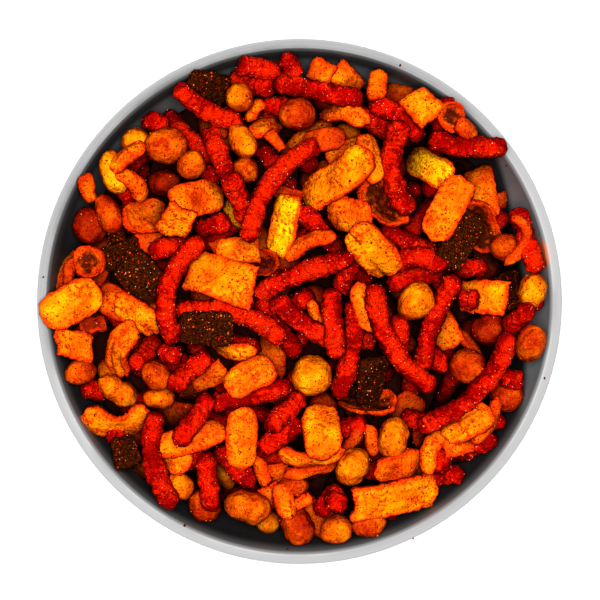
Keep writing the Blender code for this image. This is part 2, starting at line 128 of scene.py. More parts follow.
class Finish:  # a material with Object coordinates, built up by calls
    def __init__(self, name, **fixed):
        self.material = bpy.data.materials.new(name)
        self.material.use_nodes = True
        self.tree = self.material.node_tree
        self.shader = self.tree.nodes["Principled BSDF"]
        for socketName, value in fixed.items():
            self.shader.inputs[socketName.replace("_", " ")].default_value = value
        self.place = self.add("ShaderNodeTexCoord", output="Object")

    def add(self, kind, settings=None, sockets=None, output=0):
        node = self.tree.nodes.new(kind)
        for key, value in (settings or {}).items():
            if key == "stops":
                ramp = node.color_ramp
                while len(ramp.elements) < len(value):
                    ramp.elements.new(0.5)
                for element, (position, colour) in zip(ramp.elements, value):
                    element.position = position
                    element.color = (*colour, 1)
            else:
                setattr(node, key, value)
        for key, value in (sockets or {}).items():
            self.plug(node.inputs[key], value)
        return Wire(self, node.outputs[output])

    def plug(self, socket, value):
        if isinstance(value, Wire):
            self.tree.links.new(value.socket, socket)
        elif isinstance(value, tuple) and len(value) == 3 and socket.type == "RGBA":
            socket.default_value = (*value, 1)
        else:
            socket.default_value = value

    def along(self, axis, vector=None):  # one coordinate of a vector, or else of the place in metres
        return self.add("ShaderNodeSeparateXYZ", None, {0: vector or self.place}, axis)

    def facingUp(self):  # 1 on top, 0 on a wall, -1 below
        return self.along("Z", self.add("ShaderNodeTexCoord", output="Normal"))

    def vector(self, operation, *values, output="Vector"):
        return self.add("ShaderNodeVectorMath", {"operation": operation}, dict(enumerate(values)), output)

    def noise(self, size, detail=2.0):  # patches about as large as size, in mm
        sockets = {"Vector": self.place, "Scale": 1 / (size * mm), "Detail": detail}
        return self.add("ShaderNodeTexNoise", None, sockets)

    def band(self, value, low, high, bottom=0.0, top=1.0):  # a soft step
        sockets = {"Value": value, "From Min": low, "From Max": high, "To Min": bottom, "To Max": top}
        return self.add("ShaderNodeMapRange", {"interpolation_type": "SMOOTHSTEP"}, sockets)

    def specks(self, spacing, radius, share):  # dots in mm, in a share of the cells
        sockets = {"Vector": self.place, "Scale": 1 / (spacing * mm)}
        near = self.add("ShaderNodeTexVoronoi", None, sockets, "Distance")
        colour = Wire(self, near.socket.node.outputs["Color"])
        drawn = self.add("ShaderNodeSeparateColor", None, {0: colour})
        return self.band(near, radius / spacing * 1.25, radius / spacing * 0.75) * (drawn < share)

    def speckled(self, colour, rows):  # rows of spacing and radius in mm, share of cells, strength, colour
        for spacing, radius, share, strength, speck in rows:
            colour = self.mix(self.specks(spacing, radius, share) * strength, colour, speck)
        return colour

    def mix(self, factor, first, second, blend="MIX"):
        settings = {"data_type": "RGBA", "blend_type": blend}
        return self.add("ShaderNodeMix", settings, {0: factor, 6: first, 7: second}, 2)

    def ramp(self, value, *stops):
        return self.add("ShaderNodeValToRGB", {"stops": stops}, {0: value})

    def grained(self, colour, size, amount, tint=(0.30, 0.08, 0.05)):  # finer darker grain, in patches
        patches = self.band(self.noise(size * 6, 2.0), 0.38, 0.62, 0.25, 1.0)
        grains = self.band(self.noise(size, 3.0), 0.54, 0.36) * patches * amount
        return self.mix(grains, colour, self.mix(1.0, colour, tint, "MULTIPLY"))

    def attribute(self, name):
        return self.add("ShaderNodeAttribute", {"attribute_name": name}, output="Fac")

    # Painted shade: deeper on the sides that face away from the top, and near black where it is buried in
    # the heap.
    def withPaintedShade(self, colour, keep, level=0.92, steep=0.15, tint=(0.34, 0.13, 0.10)):
        sides = self.band(self.facingUp(), level, steep) * 0.8
        colour = self.mix(sides, colour, self.mix(1.0, colour, tint, "MULTIPLY"))
        return self.mix(self.attribute("buried") * (1 - keep), colour, (0.0, 0.0, 0.0))

    def finished(self, colour, height=None, distance=0.3, strength=1.0, roughness=None):
        self.plug(self.shader.inputs["Base Color"], colour)
        if roughness is not None:
            self.plug(self.shader.inputs["Roughness"], roughness)
        if height is not None:
            sockets = {"Height": height, "Distance": distance * mm, "Strength": strength}
            self.plug(self.shader.inputs["Normal"], self.add("ShaderNodeBump", None, sockets))
        return self.material


# The bowl: two superellipses round one centre, a wall's thickness apart, on a foot ring.
bowlShape = {
    "height": 72.0,
    "rimInnerRadius": 105.0,
    "wall": 4.8,
    "rimRound": 1.9,
    "centreHeight": 98.0,
    "depth": 90.0,
    "power": 2.3,
    "footRadius": 44.0,
    "footWidth": 4.0,
    "footRound": 1.0,
    "innerSteps": 26,
    "outerSteps": 18,
    "roundSteps": 5,
    "footSteps": 3,
    "spinSteps": 120,
}


def wallReach(outward):
    drop = (bowlShape["centreHeight"] - bowlShape["height"]) / bowlShape["depth"]
    power = bowlShape["power"]
    return bowlShape["rimInnerRadius"] / (1 - drop**power) ** (1 / power) + outward


def wallRadius(height, outward=0.0):
    share = (bowlShape["centreHeight"] - height) / (bowlShape["depth"] + outward)
    return wallReach(outward) * max(0.0, 1 - share ** bowlShape["power"]) ** (1 / bowlShape["power"])


def wallHeight(radius, outward=0.0):
    share = np.clip(np.asarray(radius, float) / wallReach(outward), 0, 1) ** bowlShape["power"]
    depth = bowlShape["depth"] + outward
    return bowlShape["centreHeight"] - depth * (1 - share) ** (1 / bowlShape["power"])


def wallPoints(low, high, count, outward=0.0):  # (radius, height) about evenly up the wall
    depth, power = bowlShape["depth"] + outward, bowlShape["power"]
    shares = (min(1.0, (bowlShape["centreHeight"] - z) / depth) for z in (low, high))
    turns = np.linspace(*(math.acos(share ** (power / 2)) for share in shares), count)
    radii = wallReach(outward) * np.sin(turns) ** (2 / power)
    heights = bowlShape["centreHeight"] - depth * np.cos(turns) ** (2 / power)
    return list(zip(radii.tolist(), heights.tolist()))


def corner(centre, radius, start, end, steps):
    turns = (math.radians(start + (end - start) * i / steps) for i in range(steps + 1))
    return [(centre[0] + radius * math.cos(t), centre[1] + radius * math.sin(t)) for t in turns]


def turned(name, profile, steps):  # a profile is drawn vertex by vertex and spun round the Z axis
    piece = startPiece(name, bpy.ops.mesh.primitive_plane_add, size=mm)
    bpy.ops.mesh.merge(type="CENTER")
    at = (0.0, 0.0)
    for index, (radius, height) in enumerate(profile):
        move = ((radius - at[0]) * mm, 0, (height - at[1]) * mm)
        if index:
            bpy.ops.mesh.extrude_region_move(TRANSFORM_OT_translate={"value": move})
        else:
            bpy.ops.transform.translate(value=move)
        at = (radius, height)
    bpy.ops.mesh.select_all(action="SELECT")
    bpy.ops.mesh.spin(steps=steps, angle=2 * math.pi, center=(0, 0, 0), axis=(0, 0, 1))
    return closePiece(piece)


def makeBowl():
    rim, foot = bowlShape["rimRound"], bowlShape["footRound"]
    top, wall = bowlShape["height"], bowlShape["wall"]
    rimSteps, footSteps = bowlShape["roundSteps"], bowlShape["footSteps"]
    profile = wallPoints(bowlShape["centreHeight"] - bowlShape["depth"], top - rim, bowlShape["innerSteps"])
    profile += corner((profile[-1][0] + rim, top - rim), rim, 165, 90, rimSteps)
    profile += corner((wallRadius(top, wall) - rim, top - rim), rim, 90, 5, rimSteps)
    shoulder = float(wallHeight(bowlShape["footRadius"], wall))
    profile += wallPoints(shoulder + 0.8, top - 2 * rim, bowlShape["outerSteps"], wall)[::-1]
    profile += corner((bowlShape["footRadius"] - foot, foot), foot, 0, -90, footSteps)
    inner = bowlShape["footRadius"] - bowlShape["footWidth"]
    profile += corner((inner + foot, foot), foot, -90, -180, footSteps)
    profile += [(r, float(wallHeight(r, wall))) for r in np.linspace(inner, 0.0, 5).tolist()]
    bowl = turned("greyBowl", profile, bowlShape["spinSteps"])
    return applied(bowl, "SUBSURF", levels=1, render_levels=1)


# Greys of the glaze and of the light and shade painted on its rim and inside wall, headings in degrees of
# the sides where shade and light are painted, and a smear on the rim.
glazeLook = {
    "grey": (0.37, 0.37, 0.37),
    "shadeGrey": (0.32, 0.32, 0.325),
    "rimPaintedLight": (0.46, 0.46, 0.46),
    "rimPaintedShade": (0.21, 0.21, 0.21),
    "sidePaintedShade": (0.07, 0.07, 0.07),
    "wellPaintedShade": (0.03, 0.028, 0.028),
    "wellLight": (0.13, 0.13, 0.13),
    "dimHeading": 115,
    "litHeading": 6,
    "litLift": 20.0,
    "wellHeading": 105,
    "rimLightBand": (107.9, 109.3),  # radii in mm
    "rimShadeBand": (109.5, 104.0),
    "dimBands": ((110.0, 108.0, 0.30), (108.6, 105.4, 0.90)),  # two radii, and how much painted shade
    "wellShadeBand": (73.0, 63.5),  # heights in mm
    "litBand": (67.0, 61.0),
    "roughness": (0.36, 0.5),
    "smudge": (0.70, 0.19, 0.04),
    "smudgePlace": (0.1012, 0.0190, 0.0695),
    "smudgeStretch": (1.9, 1.0, 1.2),
    "smudgeReach": (0.0105, 0.0060),
}


def glazeFinish():
    look = glazeLook
    finish = Finish("pale grey glaze", Roughness=0.42, Specular_IOR_Level=0.35)
    height = finish.along("Z") * (1 / mm)
    radius = (finish.along("X") ** 2 + finish.along("Y") ** 2) ** 0.5 * (1 / mm)
    rimMiddle = bowlShape["rimInnerRadius"] + 2.0

    def facing(heading, low, high):  # how far a spot lies towards one side, as shares of the rim's radius
        towards = (math.cos(math.radians(heading)), math.sin(math.radians(heading)), 0)
        reach = finish.vector("DOT_PRODUCT", finish.place, towards, output="Value") * (1 / mm)
        return finish.band(reach, low * rimMiddle, high * rimMiddle)

    patches = finish.band(finish.noise(38.0, 3.0), 0.35, 0.65)
    colour = finish.mix(patches * 0.35, look["grey"], look["shadeGrey"])
    upward = finish.band(finish.facingUp(), -0.1, 0.2)  # so that the outside of the wall stays plain
    # Painted light on the outer edge of the rim, painted shade on its inner edge and wall, and more painted
    # shade on the side at dimHeading.
    colour = finish.mix(finish.band(radius, *look["rimLightBand"]) * upward, colour, look["rimPaintedLight"])
    colour = finish.mix(finish.band(radius, *look["rimShadeBand"]) * upward, colour, look["rimPaintedShade"])
    dimSide = facing(look["dimHeading"], -0.2, 0.9) * upward
    for outer, inner, share in look["dimBands"]:
        colour = finish.mix(dimSide * finish.band(radius, outer, inner) * share, colour, look["sidePaintedShade"])
    # Painted shade down the inside wall to near black, starting lower on the lit side at litHeading, with
    # painted light on the lower wall towards wellHeading.
    litHeight = height + facing(look["litHeading"], 0.80, 0.95) * look["litLift"]
    withinRim = radius < bowlShape["rimInnerRadius"] + 1.0
    inside = withinRim * finish.band(litHeight, *look["wellShadeBand"]) * upward
    lit = finish.band(height, *look["litBand"]) * facing(look["wellHeading"], 0.4, 0.9)
    colour = finish.mix(inside, colour, finish.mix(lit, look["wellPaintedShade"], look["wellLight"]))
    away = finish.vector("SUBTRACT", finish.place, look["smudgePlace"])
    away = finish.vector("LENGTH", finish.vector("MULTIPLY", away, look["smudgeStretch"]), output="Value")
    smudge = finish.band(away + finish.noise(2.5, 3.0) * 0.004, *look["smudgeReach"])
    colour = finish.mix(smudge * 0.7, colour, look["smudge"])
    roughness = finish.band(patches, 0.0, 1.0, *look["roughness"])
    return finish.finished(colour, finish.noise(9.0, 2.0), 0.05, 0.4, roughness)


# How pieces come to rest: each is let down at its place onto the ones before it.
settling = {
    "cell": 1.5,
    "fieldHalf": 127.5,
    "bowlGap": 0.8,
    "sink": 0.9,
    "touchingShare": 0.965,
    "noSupport": -1000.0,
    "slides": (0.0, 0.6, 1.2, 1.8, 2.4, 3.0, 3.6),
    "slideCost": 1.2,
    "tiltRounds": 3,
    "tiltStep": 8.0,
    "tiltCost": 0.02,
    "testSpacing": 1.2,
    "bedEdgeHeight": 51.0,
    "bedCrownHeight": 58.0,
    "bedGap": 0.8,
    "hiddenCount": 96,
    "hiddenReach": 93.0,
    "hiddenSeed": 11,
}
pieceSizes = {
    "stickRadius": 4.2,
    "chipThickness": 2.6,
    "chipTrough": 1.5,
    "nutFlatness": 0.92,
    "slabThickness": 3.2,
}
goldenAngle = math.pi * (3 - math.sqrt(5))

# x and y are in mm from the bowl's axis, headings from +X towards +Y, and higher layers lie on lower ones.
# Sticks: layer, x, y, heading, length, turn over the length.
sticks = (
    (1, -10, 82, -10, 12, 0), (1, 35, 73, -30, 26, 10), (1, 72, 14, 0, 16, 0), (1, 42, -90, 50, 13, 0),
    (1, -89, -39, -25, 12, 0), (1, -81, -58, 0, 8, 0), (2, -47, 69, -48, 31, -10), (2, -35, 53, 12, 13, 0),
    (2, -60, 75, -30, 12, 0), (2, -12, 60, -50, 15, 0), (2, -20, 91, -20, 21, 0), (2, 46, 25, -24, 30, 5),
    (2, 48, 9, 12, 24, 25), (2, 75, -63, 25, 24, 5), (2, 62, -74, 12, 17, 0), (2, 13, -87, 43, 16, 0),
    (2, -65, -22, 51, 18, 0), (2, -54, -22, -10, 10, 0), (2, -73, 46, -50, 12, 0), (2, 21, -53, 10, 15, 0),
    (2, 59, -67, -70, 11, 0), (2, 85, 35, -45, 9, 0), (2, 0, 0, 35, 15, 0), (2, -46, -67, 30, 16, 0),
    (3, -39, 80, -29, 34, 40), (3, -34, 62, -68, 26, 10), (3, -25, 43, -67, 25, -10),
    (3, -17, 97, -9, 19, 0), (3, -4, 98, -60, 12, 0), (3, 41, 77, -35, 27, -45), (3, 15, 23, -48, 44, 0),
    (3, -9, -11, -54, 30, 0), (3, 19, 10, 70, 15, 0), (3, 26, -16, -5, 14, 0), (3, 42, -14, -85, 18, 0),
    (3, 57, -24, -45, 14, 0), (3, 49, 18, -5, 18, -50), (3, 90, -7, 50, 17, 0), (3, 97, 25, -73, 28, 10),
    (3, 15, -83, -15, 10, 0), (3, -27, -70, -48, 23, 10), (3, -20, -40, 16, 36, 20),
    (3, -8, -56, 35, 22, -15), (3, -53, 23, 8, 21, -30), (3, -27, -4, -14, 50, -75),
    (3, -36, 32, 18, 15, 0), (3, 49, -50, -20, 14, 0), (3, 33, -71, 12, 15, 0), (4, 8, 87, -11, 38, 5),
    (4, 38, 55, -85, 41, 78), (4, 68, 63, -3, 37, 30), (4, 1, 12, 22, 46, -18), (4, 2, -9, -33, 33, 28),
    (4, 22, -20, -100, 43, -30), (4, 56, -8, 70, 42, -31), (4, 70, 1, 0, 9, 0), (4, 88, -32, -15, 10, 0),
    (4, -38, -75, -84, 25, 0), (4, -63, -67, -80, 42, 44), (4, -6, -46, 43, 22, 0),
    (4, -46, -29, 42, 22, 0), (5, -13, 49, 55, 53, -75), (5, 14, -9, -84, 29, 5),
    (5, 37, -18, -60, 54, 62), (5, 73, -37, 47, 57, 70), (5, -44, -49, 56, 25, 0),
    (5, -54, 7, 75, 50, -61),
)
# Chips: layer, x, y, heading, length, width, arch, roll, tone from 0 yellow to 1 brown, form of the chip.
chips = (
    (1, -87, -10, 8, 11, 7, 20, 0, 0.90, "broken"), (1, -66, -72, -50, 17, 8, 50, 40, 0.60, "plain"),
    (2, -15, 16, -5, 16, 11, 40, 180, 0.80, "scoop"), (2, -62, 27, 40, 12, 11, 30, 0, 0.90, "broken"),
    (2, -100, 13, 72, 20, 7, 60, -62, 0.35, "plain"), (2, -95, 12, 80, 15, 7, 60, -60, 0.60, "plain"),
    (2, -94, -18, -14, 17, 12, 30, 0, 0.42, "broken"), (2, -52, -65, -40, 16, 12, 30, 0, 0.35, "plain"),
    (2, 66, -60, 12, 13, 9, 30, 0, 0.60, "broken"), (2, 72, -17, -50, 16, 6, 50, -55, 0.65, "plain"),
    (2, 92, 24, 85, 25, 7, 110, 60, 0.60, "plain"), (2, 88, 44, 8, 10, 7, 20, 0, 0.60, "broken"),
    (2, 62, 77, -20, 13, 12, 60, 170, 0.65, "scoop"), (2, 69, 71, -35, 13, 6, 60, -50, 0.60, "plain"),
    (2, 42, 88, -20, 12, 9, 20, 0, 0.60, "broken"), (2, 20, 93, -40, 15, 11, 30, 0, 0.40, "broken"),
    (2, 9, 96, -30, 11, 10, 20, 0, 0.55, "broken"), (2, -14, 75, 22, 15, 12, 80, -40, 0.52, "plain"),
    (2, -19, 80, 55, 11, 5, 20, 0, 0.40, "plain"), (2, 3, 68, 35, 24, 9, 40, -20, 0.40, "plain"),
    (2, -27, 36, -55, 14, 6, 50, 40, 0.05, "plain"), (2, -5, 45, -20, 12, 6, 30, 0, 0.90, "broken"),
    (2, 67, 55, 10, 9, 6, 20, 0, 0.60, "broken"), (2, -16, -72, -80, 13, 6, 30, 30, 0.60, "plain"),
    (2, -12, -83, -75, 13, 9, 30, 0, 0.60, "broken"), (2, 1, -84, 25, 9, 5, 20, 0, 0.60, "broken"),
    (2, 30, -58, -80, 13, 5, 30, 40, 0.60, "plain"), (3, 22, 63, 20, 22, 12, 40, 0, 0.38, "plain"),
    (3, 34, 41, -42, 26, 17, 70, 180, 0.62, "scoop"), (3, -65, 35, 12, 21, 15, 40, 165, 0.60, "plain"),
    (3, -69, 49, -50, 17, 8, 70, -55, 0.48, "plain"), (3, -88, 47, -80, 13, 6, 30, -30, 0.60, "plain"),
    (3, -88, 16, 45, 15, 14, 80, 150, 0.60, "scoop"), (3, -79, 0, -30, 18, 13, 45, 0, 0.58, "plain"),
    (3, -77, -51, 0, 28, 11, 90, 50, 0.38, "plain"), (3, -45, -57, 14, 29, 11, 40, 0, 0.52, "plain"),
    (3, -38, -32, 25, 16, 10, 40, 0, 0.58, "broken"), (3, -28, -21, -8, 18, 10, 50, 30, 0.35, "plain"),
    (3, 13, -68, 30, 36, 10, 60, 65, 0.60, "plain"), (3, 30, -45, -6, 27, 13, 50, 160, 0.45, "scoop"),
    (3, 42, -69, 10, 23, 12, 40, 0, 0.55, "plain"), (3, 80, -51, 62, 20, 8, 70, 55, 0.60, "plain"),
    (3, 55, -62, 70, 17, 9, 60, -45, 0.40, "plain"), (3, 61, -12, -60, 17, 12, 30, 0, 0.45, "broken"),
    (3, 77, 2, -3, 20, 14, 25, 0, 0.35, "broken"), (3, 7, -6, -58, 14, 7, 50, 40, 0.45, "plain"),
    (3, 54, 56, -32, 23, 13, 45, 0, 0.08, "plain"), (3, 77, 47, -85, 21, 13, 40, 0, 0.50, "broken"),
    (3, 76, 32, -65, 26, 15, 60, 180, 0.68, "scoop"), (3, 50, 81, -50, 15, 13, 25, 0, 0.30, "broken"),
    (3, 32, 90, 85, 15, 8, 30, 0, 0.48, "plain"), (3, 18, 79, -12, 21, 11, 80, -45, 0.42, "plain"),
    (3, -10, 67, -50, 10, 5, 20, 0, 0.60, "broken"), (3, 10, 68, 12, 18, 10, 40, 0, 0.72, "plain"),
    (3, -34, 23, 20, 7, 6, 20, 0, 0.60, "broken"), (3, -6, -83, -72, 15, 7, 50, -35, 0.48, "plain"),
    (4, 30, 60, -78, 20, 9, 50, -35, 0.35, "plain"), (4, 20, 36, -12, 22, 14, 40, 0, 0.45, "plain"),
    (4, -7, 32, 78, 24, 12, 40, 0, 0.10, "broken"), (4, 3, 25, 25, 21, 10, 60, -50, 0.55, "plain"),
    (4, -26, 21, 5, 19, 12, 40, 0, 0.35, "broken"), (4, -42, 43, 14, 26, 14, 40, 0, 0.55, "plain"),
    (4, -72, 61, 38, 17, 8, 50, -30, 0.38, "plain"), (4, -95, -1, 27, 27, 16, 30, 0, 0.33, "plain"),
    (4, -68, -6, -35, 22, 12, 60, 20, 0.33, "grooved"),
    (4, -76, -21, 72, 27, 11, 70, -30, 0.40, "grooved"), (4, -21, -31, 28, 22, 14, 40, 0, 0.45, "plain"),
    (4, -24, -57, 88, 25, 13, 45, 0, 0.44, "plain"), (4, 5, -67, 8, 27, 10, 55, 55, 0.40, "plain"),
    (4, 40, -82, 10, 38, 15, 20, 0, 0.38, "broken"), (4, 69, -50, 28, 23, 13, 35, 0, 0.35, "grooved"),
    (4, 27, -2, -75, 20, 7, 40, -40, 0.40, "plain"), (5, 14, 51, 35, 37, 15, 35, 0, 0.30, "plain"),
    (5, 30, 20, -50, 28, 16, 40, 0, 0.30, "grooved"), (5, -33, 10, -17, 31, 18, 25, 0, 0.40, "broken"),
    (5, -51, 33, 60, 15, 13, 40, 0, 0.35, "broken"), (5, 9, -53, -88, 25, 15.5, 25, 0, 0.30, "plain"),
    (5, 61, 39, 62, 29, 14, 35, 0, 0.42, "plain"),
)
# Pieces that lie a little beside the spot where they settle, by place: mm along X and Y.
nudges = {
    (97, 25): (-2.6, 0.4), (68, 63): (1.0, 1.2), (-100, 13): (-2.4, 0.0), (-95, 12): (-2.4, 0.0),
    (-77, -51): (0.4, -1.8), (-54, 7): (-1.2, 0.0), (-63, -67): (1.8, 0.2), (49, 18): (0.5, 0.8),
    (92, 24): (1.3, 1.2),
}
# How far a piece is lifted to lie on its neighbour, in mm, by place.
raises = {(92, 24): 19.0}
# Sticks that bend further, by place: degrees more over the length, and how much longer.
stickBends = {(-54, 7): (-34, 1.0), (-63, -67): (14, 1.0), (68, 63): (10, 0.9), (49, 18): (-65, 1.35)}
# Nuts: layer, x, y, heading, length, width, tone from 0 gold to 1 red-brown, waist.
nuts = (
    (1, -14, -97, -20, 12, 10, 0.25, 0), (1, 15, -95, 20, 14, 12, 0.40, 0),
    (1, 29, -93, 5, 16, 11, 0.55, 0), (1, -32, -74, -60, 14, 9, 0.30, 0), (1, -2, -77, 0, 12, 9, 0.60, 0),
    (2, -57, 50, -10, 15, 12, 0.90, 0), (2, -69, 67, 0, 13, 12.5, 0.20, 0),
    (2, -78, 54, -72, 19, 12, 0.20, 0.1), (2, -92, -30, 0, 14, 11, 0.55, 0),
    (2, -77, -38, -35, 19, 12, 0.30, 0.2), (2, -59, -41, -5, 14, 10, 0.35, 0),
    (2, -60, -31, -50, 14, 11.5, 0.55, 0), (2, -50, -77, -60, 13, 11, 0.40, 0),
    (2, -40, -86, -50, 16, 13, 0.60, 0), (2, -1, -94, -70, 17, 14, 0.70, 0.1),
    (2, 79, -12, 0, 14.5, 14, 0.88, 0), (2, 96, 5, 80, 15, 12, 0.25, 0.1),
    (3, 90, -39, -70, 18, 14, 0.70, 0), (2, 21, 71, -20, 12, 9, 0.30, 0), (2, -23, 55, 0, 12, 11, 0.50, 0),
    (3, -25, 85, 0, 12, 12, 0.40, 0), (3, -1, 78, 0, 15, 14, 0.65, 0), (3, -24, 67, -60, 16, 11, 0.35, 0),
    (3, -45, 57, 0, 12, 11.5, 0.45, 0), (3, -92, 33, -80, 17, 14, 0.87, 0),
    (3, -80, 37, -65, 17, 11, 0.65, 0), (3, -22, -86, -12, 20, 15, 0.45, 0.1),
    (3, 39, -57, 78, 18, 13.5, 0.32, 0.1), (3, 95, -17, 72, 17, 13, 0.60, 0),
    (4, 87, 23, 0, 12, 12, 0.60, 0), (4, -56, 65, 15, 18, 15, 0.55, 0), (4, 22, -69, 62, 17, 13, 0.35, 0),
    (4, 48, 0, 50, 16.5, 14, 0.30, 0), (4, 70, -27, 0, 15, 14, 0.68, 0),
    (5, 5, -31, 20, 17.5, 16.5, 0.20, 0),
)
# Rye chips: layer, x, y, heading, length, width, roll.
ryeChips = (
    (1, -77, 29, -80, 13, 8, 20), (2, -39, 89, -12, 19, 15, 0), (2, -74, 20, 20, 20, 12, 15),
    (2, -73, -63, -70, 15, 11, 10), (2, 87, 4, -88, 19, 14, 65), (3, -66, 9, -50, 22, 18, 0),
    (4, -39, -11, -2, 23, 16, 0), (4, 30, -33, 85, 23, 13, 0), (4, 67, 26, 62, 26, 15, 0),
)


# Chips that also curve in their own plane, by place: degrees over the length, how much longer and wider, and
# how much narrower towards the ends.
curves = {
    (14, 51): (28, 1.04, 1.0, 0.15), (-77, -51): (120, 1.15, 1.0, 0.2), (13, -68): (62, 1.1, 0.5, 0.3),
    (5, -67): (52, 1.05, 0.65, 0.3), (-76, -21): (-66, 1.05, 1.0, 0.2), (-68, -6): (-50, 1.05, 1.0, 0.2),
    (92, 24): (130, 1.15, 0.55, 0.4), (55, -62): (-105, 1.15, 0.7, 0.4), (-100, 13): (-55, 1.1, 0.6, 0.5),
    (-95, 12): (-50, 1.0, 0.6, 0.5), (18, 79): (-80, 1.12, 0.65, 0.3), (-14, 75): (-85, 1.1, 0.62, 0.3),
    (3, 25): (-62, 1.15, 0.6, 0.4), (7, -6): (75, 1.1, 0.65, 0.4), (30, 60): (-60, 1.1, 0.9, 0.3),
    (-7, 32): (34, 1.08, 1.0, 0.3), (-69, 49): (-85, 1.12, 0.7, 0.2), (-28, -21): (60, 1.1, 0.8, 0.4),
    (80, -51): (85, 1.15, 0.62, 0.4), (3, 68): (-25, 1.0, 1.0, 0.2), (-45, -57): (24, 1.0, 1.0, 0.12),
    (-88, 47): (25, 1.0, 1.0, 0.0), (27, -2): (12, 1.05, 1.1, 0.62), (-16, -72): (25, 1.0, 1.0, 0.4),
    (30, -58): (-25, 1.0, 1.0, 0.4), (-27, 36): (25, 1.0, 1.0, 0.4), (42, -69): (18, 1.0, 1.0, 0.2),
    (72, -17): (45, 1.0, 0.8, 0.4),
}


def bent(points, turn, along, side):  # an arc through turn degrees, curving towards its +side axis
    angle = math.radians(turn)
    if abs(angle) < 0.01:
        return points
    radius = np.ptp(points[:, along]) / angle
    theta = points[:, along] / radius
    reach = radius - points[:, side]
    curved = points.copy()
    curved[:, along] = np.sin(theta) * reach
    curved[:, side] = radius - np.cos(theta) * reach
    return curved


# The forms take a blank, one unit long, wide and thick, to a piece in mm.
def stickForm(blank, length, turn):
    radius = pieceSizes["stickRadius"] * (1 - 0.18 * np.clip((np.abs(blank[:, 0]) - 0.4) / 0.1, 0, 1))
    straight = np.column_stack((blank[:, 0] * length, blank[:, 1] * radius, blank[:, 2] * radius))
    return bent(straight, turn, 0, 1)


def chipForm(blank, length, width, arch, trough=None, narrowing=0.28):
    trough = trough or pieceSizes["chipTrough"]
    narrowing = 1 - narrowing * np.clip((np.abs(blank[:, 0]) - 0.25) / 0.25, 0, 1) ** 2
    up = blank[:, 2] * pieceSizes["chipThickness"] - trough * (2 * blank[:, 1]) ** 2
    return bent(np.column_stack((blank[:, 0] * length, blank[:, 1] * width * narrowing, up)), -arch, 0, 2)


def nutForm(blank, length, width):
    egg = 1 + 0.08 * blank[:, 0]
    across, up = blank[:, 1] * width * egg, blank[:, 2] * width * egg * pieceSizes["nutFlatness"]
    return np.column_stack((blank[:, 0] * length, across, up)) / 2


def slabForm(blank, length, width):
    taper = 1 + 0.22 * blank[:, 0]
    warp = 0.8 * np.sin(3 * blank[:, 0] + 2 * blank[:, 1])
    across, up = blank[:, 1] * width * taper, blank[:, 2] * pieceSizes["slabThickness"] + warp
    return np.column_stack((blank[:, 0] * length, across, up))


forms = {"stick": stickForm, "chip": chipForm, "nut": nutForm, "slab": slabForm}


def testPoints(kind, sizes):  # points over a piece, about as close together as the field's cells
    if kind == "stick":
        along = np.linspace(-0.5, 0.5, max(6, int(sizes[0] / settling["testSpacing"])))
        x, a = (grid.ravel() for grid in np.meshgrid(along, np.linspace(0, 2 * math.pi, 14, endpoint=False)))
        blank = np.column_stack((x, np.cos(a), np.sin(a)))
    elif kind == "nut":
        count = 220
        index = np.arange(count) + 0.5
        z = 1 - 2 * index / count
        flat = np.sqrt(1 - z * z)
        blank = np.column_stack((flat * np.cos(index * goldenAngle), flat * np.sin(index * goldenAngle), z))
    else:
        across = [np.linspace(-0.5, 0.5, max(5, int(size / settling["testSpacing"]))) for size in sizes[:2]]
        x, y, z = (grid.ravel() for grid in np.meshgrid(*across, (-0.5, 0.5)))
        blank = np.column_stack((x, y, z))
    return forms[kind](blank, *sizes)


def shownPieces():  # (layer, kind, place, sizes, roll, looks), lowest layer first
    found = [(row[0], "stick", row[1:4], row[4:6], 0, {}) for row in sticks]
    found += [(row[0], "slab", row[1:4], row[4:6], row[6], {}) for row in ryeChips]
    found += [(row[0], "nut", row[1:4], row[4:6], 0, {"tone": row[6], "waist": row[7]}) for row in nuts]
    for row in chips:
        looks = {"tone": row[8], "form": row[9], "curve": curves.get(row[1:3])}
        found.append((row[0], "chip", row[1:4], row[4:7], row[7], looks))
    return sorted(found, key=lambda piece: piece[0])


def hiddenPieces():  # pieces of every kind below the ones that show, spread by a spiral
    draw = random.Random(settling["hiddenSeed"])
    found = []
    for index in range(settling["hiddenCount"]):
        reach = settling["hiddenReach"] * math.sqrt((index + 0.5) / settling["hiddenCount"])
        angle = index * goldenAngle
        place = (reach * math.cos(angle), reach * math.sin(angle), draw.uniform(0, 360))
        kind = draw.choice(("stick", "stick", "chip", "chip", "nut"))
        size = draw.uniform(0, 1)
        sizes = {
            "stick": (20 + 16 * size, draw.uniform(-50, 50)),
            "chip": (18 + 12 * size, 11 + 4 * size, 45),
            "nut": (13 + 4 * size, 12 + 2 * size),
        }[kind]
        looks = {"tone": 0.4 + 0.4 * size, "form": "plain", "curve": None, "waist": 0}
        found.append((0, kind, place, sizes, draw.choice((0, 0, 180)), looks))
    return found


def turnAbout(axis, degrees):
    return np.array(Matrix.Rotation(math.radians(degrees), 3, axis))


def bowlSupport(points):
    gap, radius = settling["bowlGap"], np.hypot(points[:, 0], points[:, 1])
    inner = bowlShape["rimInnerRadius"]
    rim = np.where(radius < inner + bowlShape["wall"] + gap, bowlShape["height"], settling["noSupport"])
    return np.where(radius < inner - gap, wallHeight(radius + gap), rim) + gap


def cellsOf(points):
    cells = ((points[:, :2] + settling["fieldHalf"]) / settling["cell"]).astype(int)
    return cells[:, 0], cells[:, 1]


def lifts(points, field):  # how far up to lie sunk a little in the heap so far, and to clear the bowl
    onHeap = np.quantile(field[cellsOf(points)] - points[:, 2], settling["touchingShare"]) - settling["sink"]
    return onHeap, float(np.max(bowlSupport(points) - points[:, 2]))


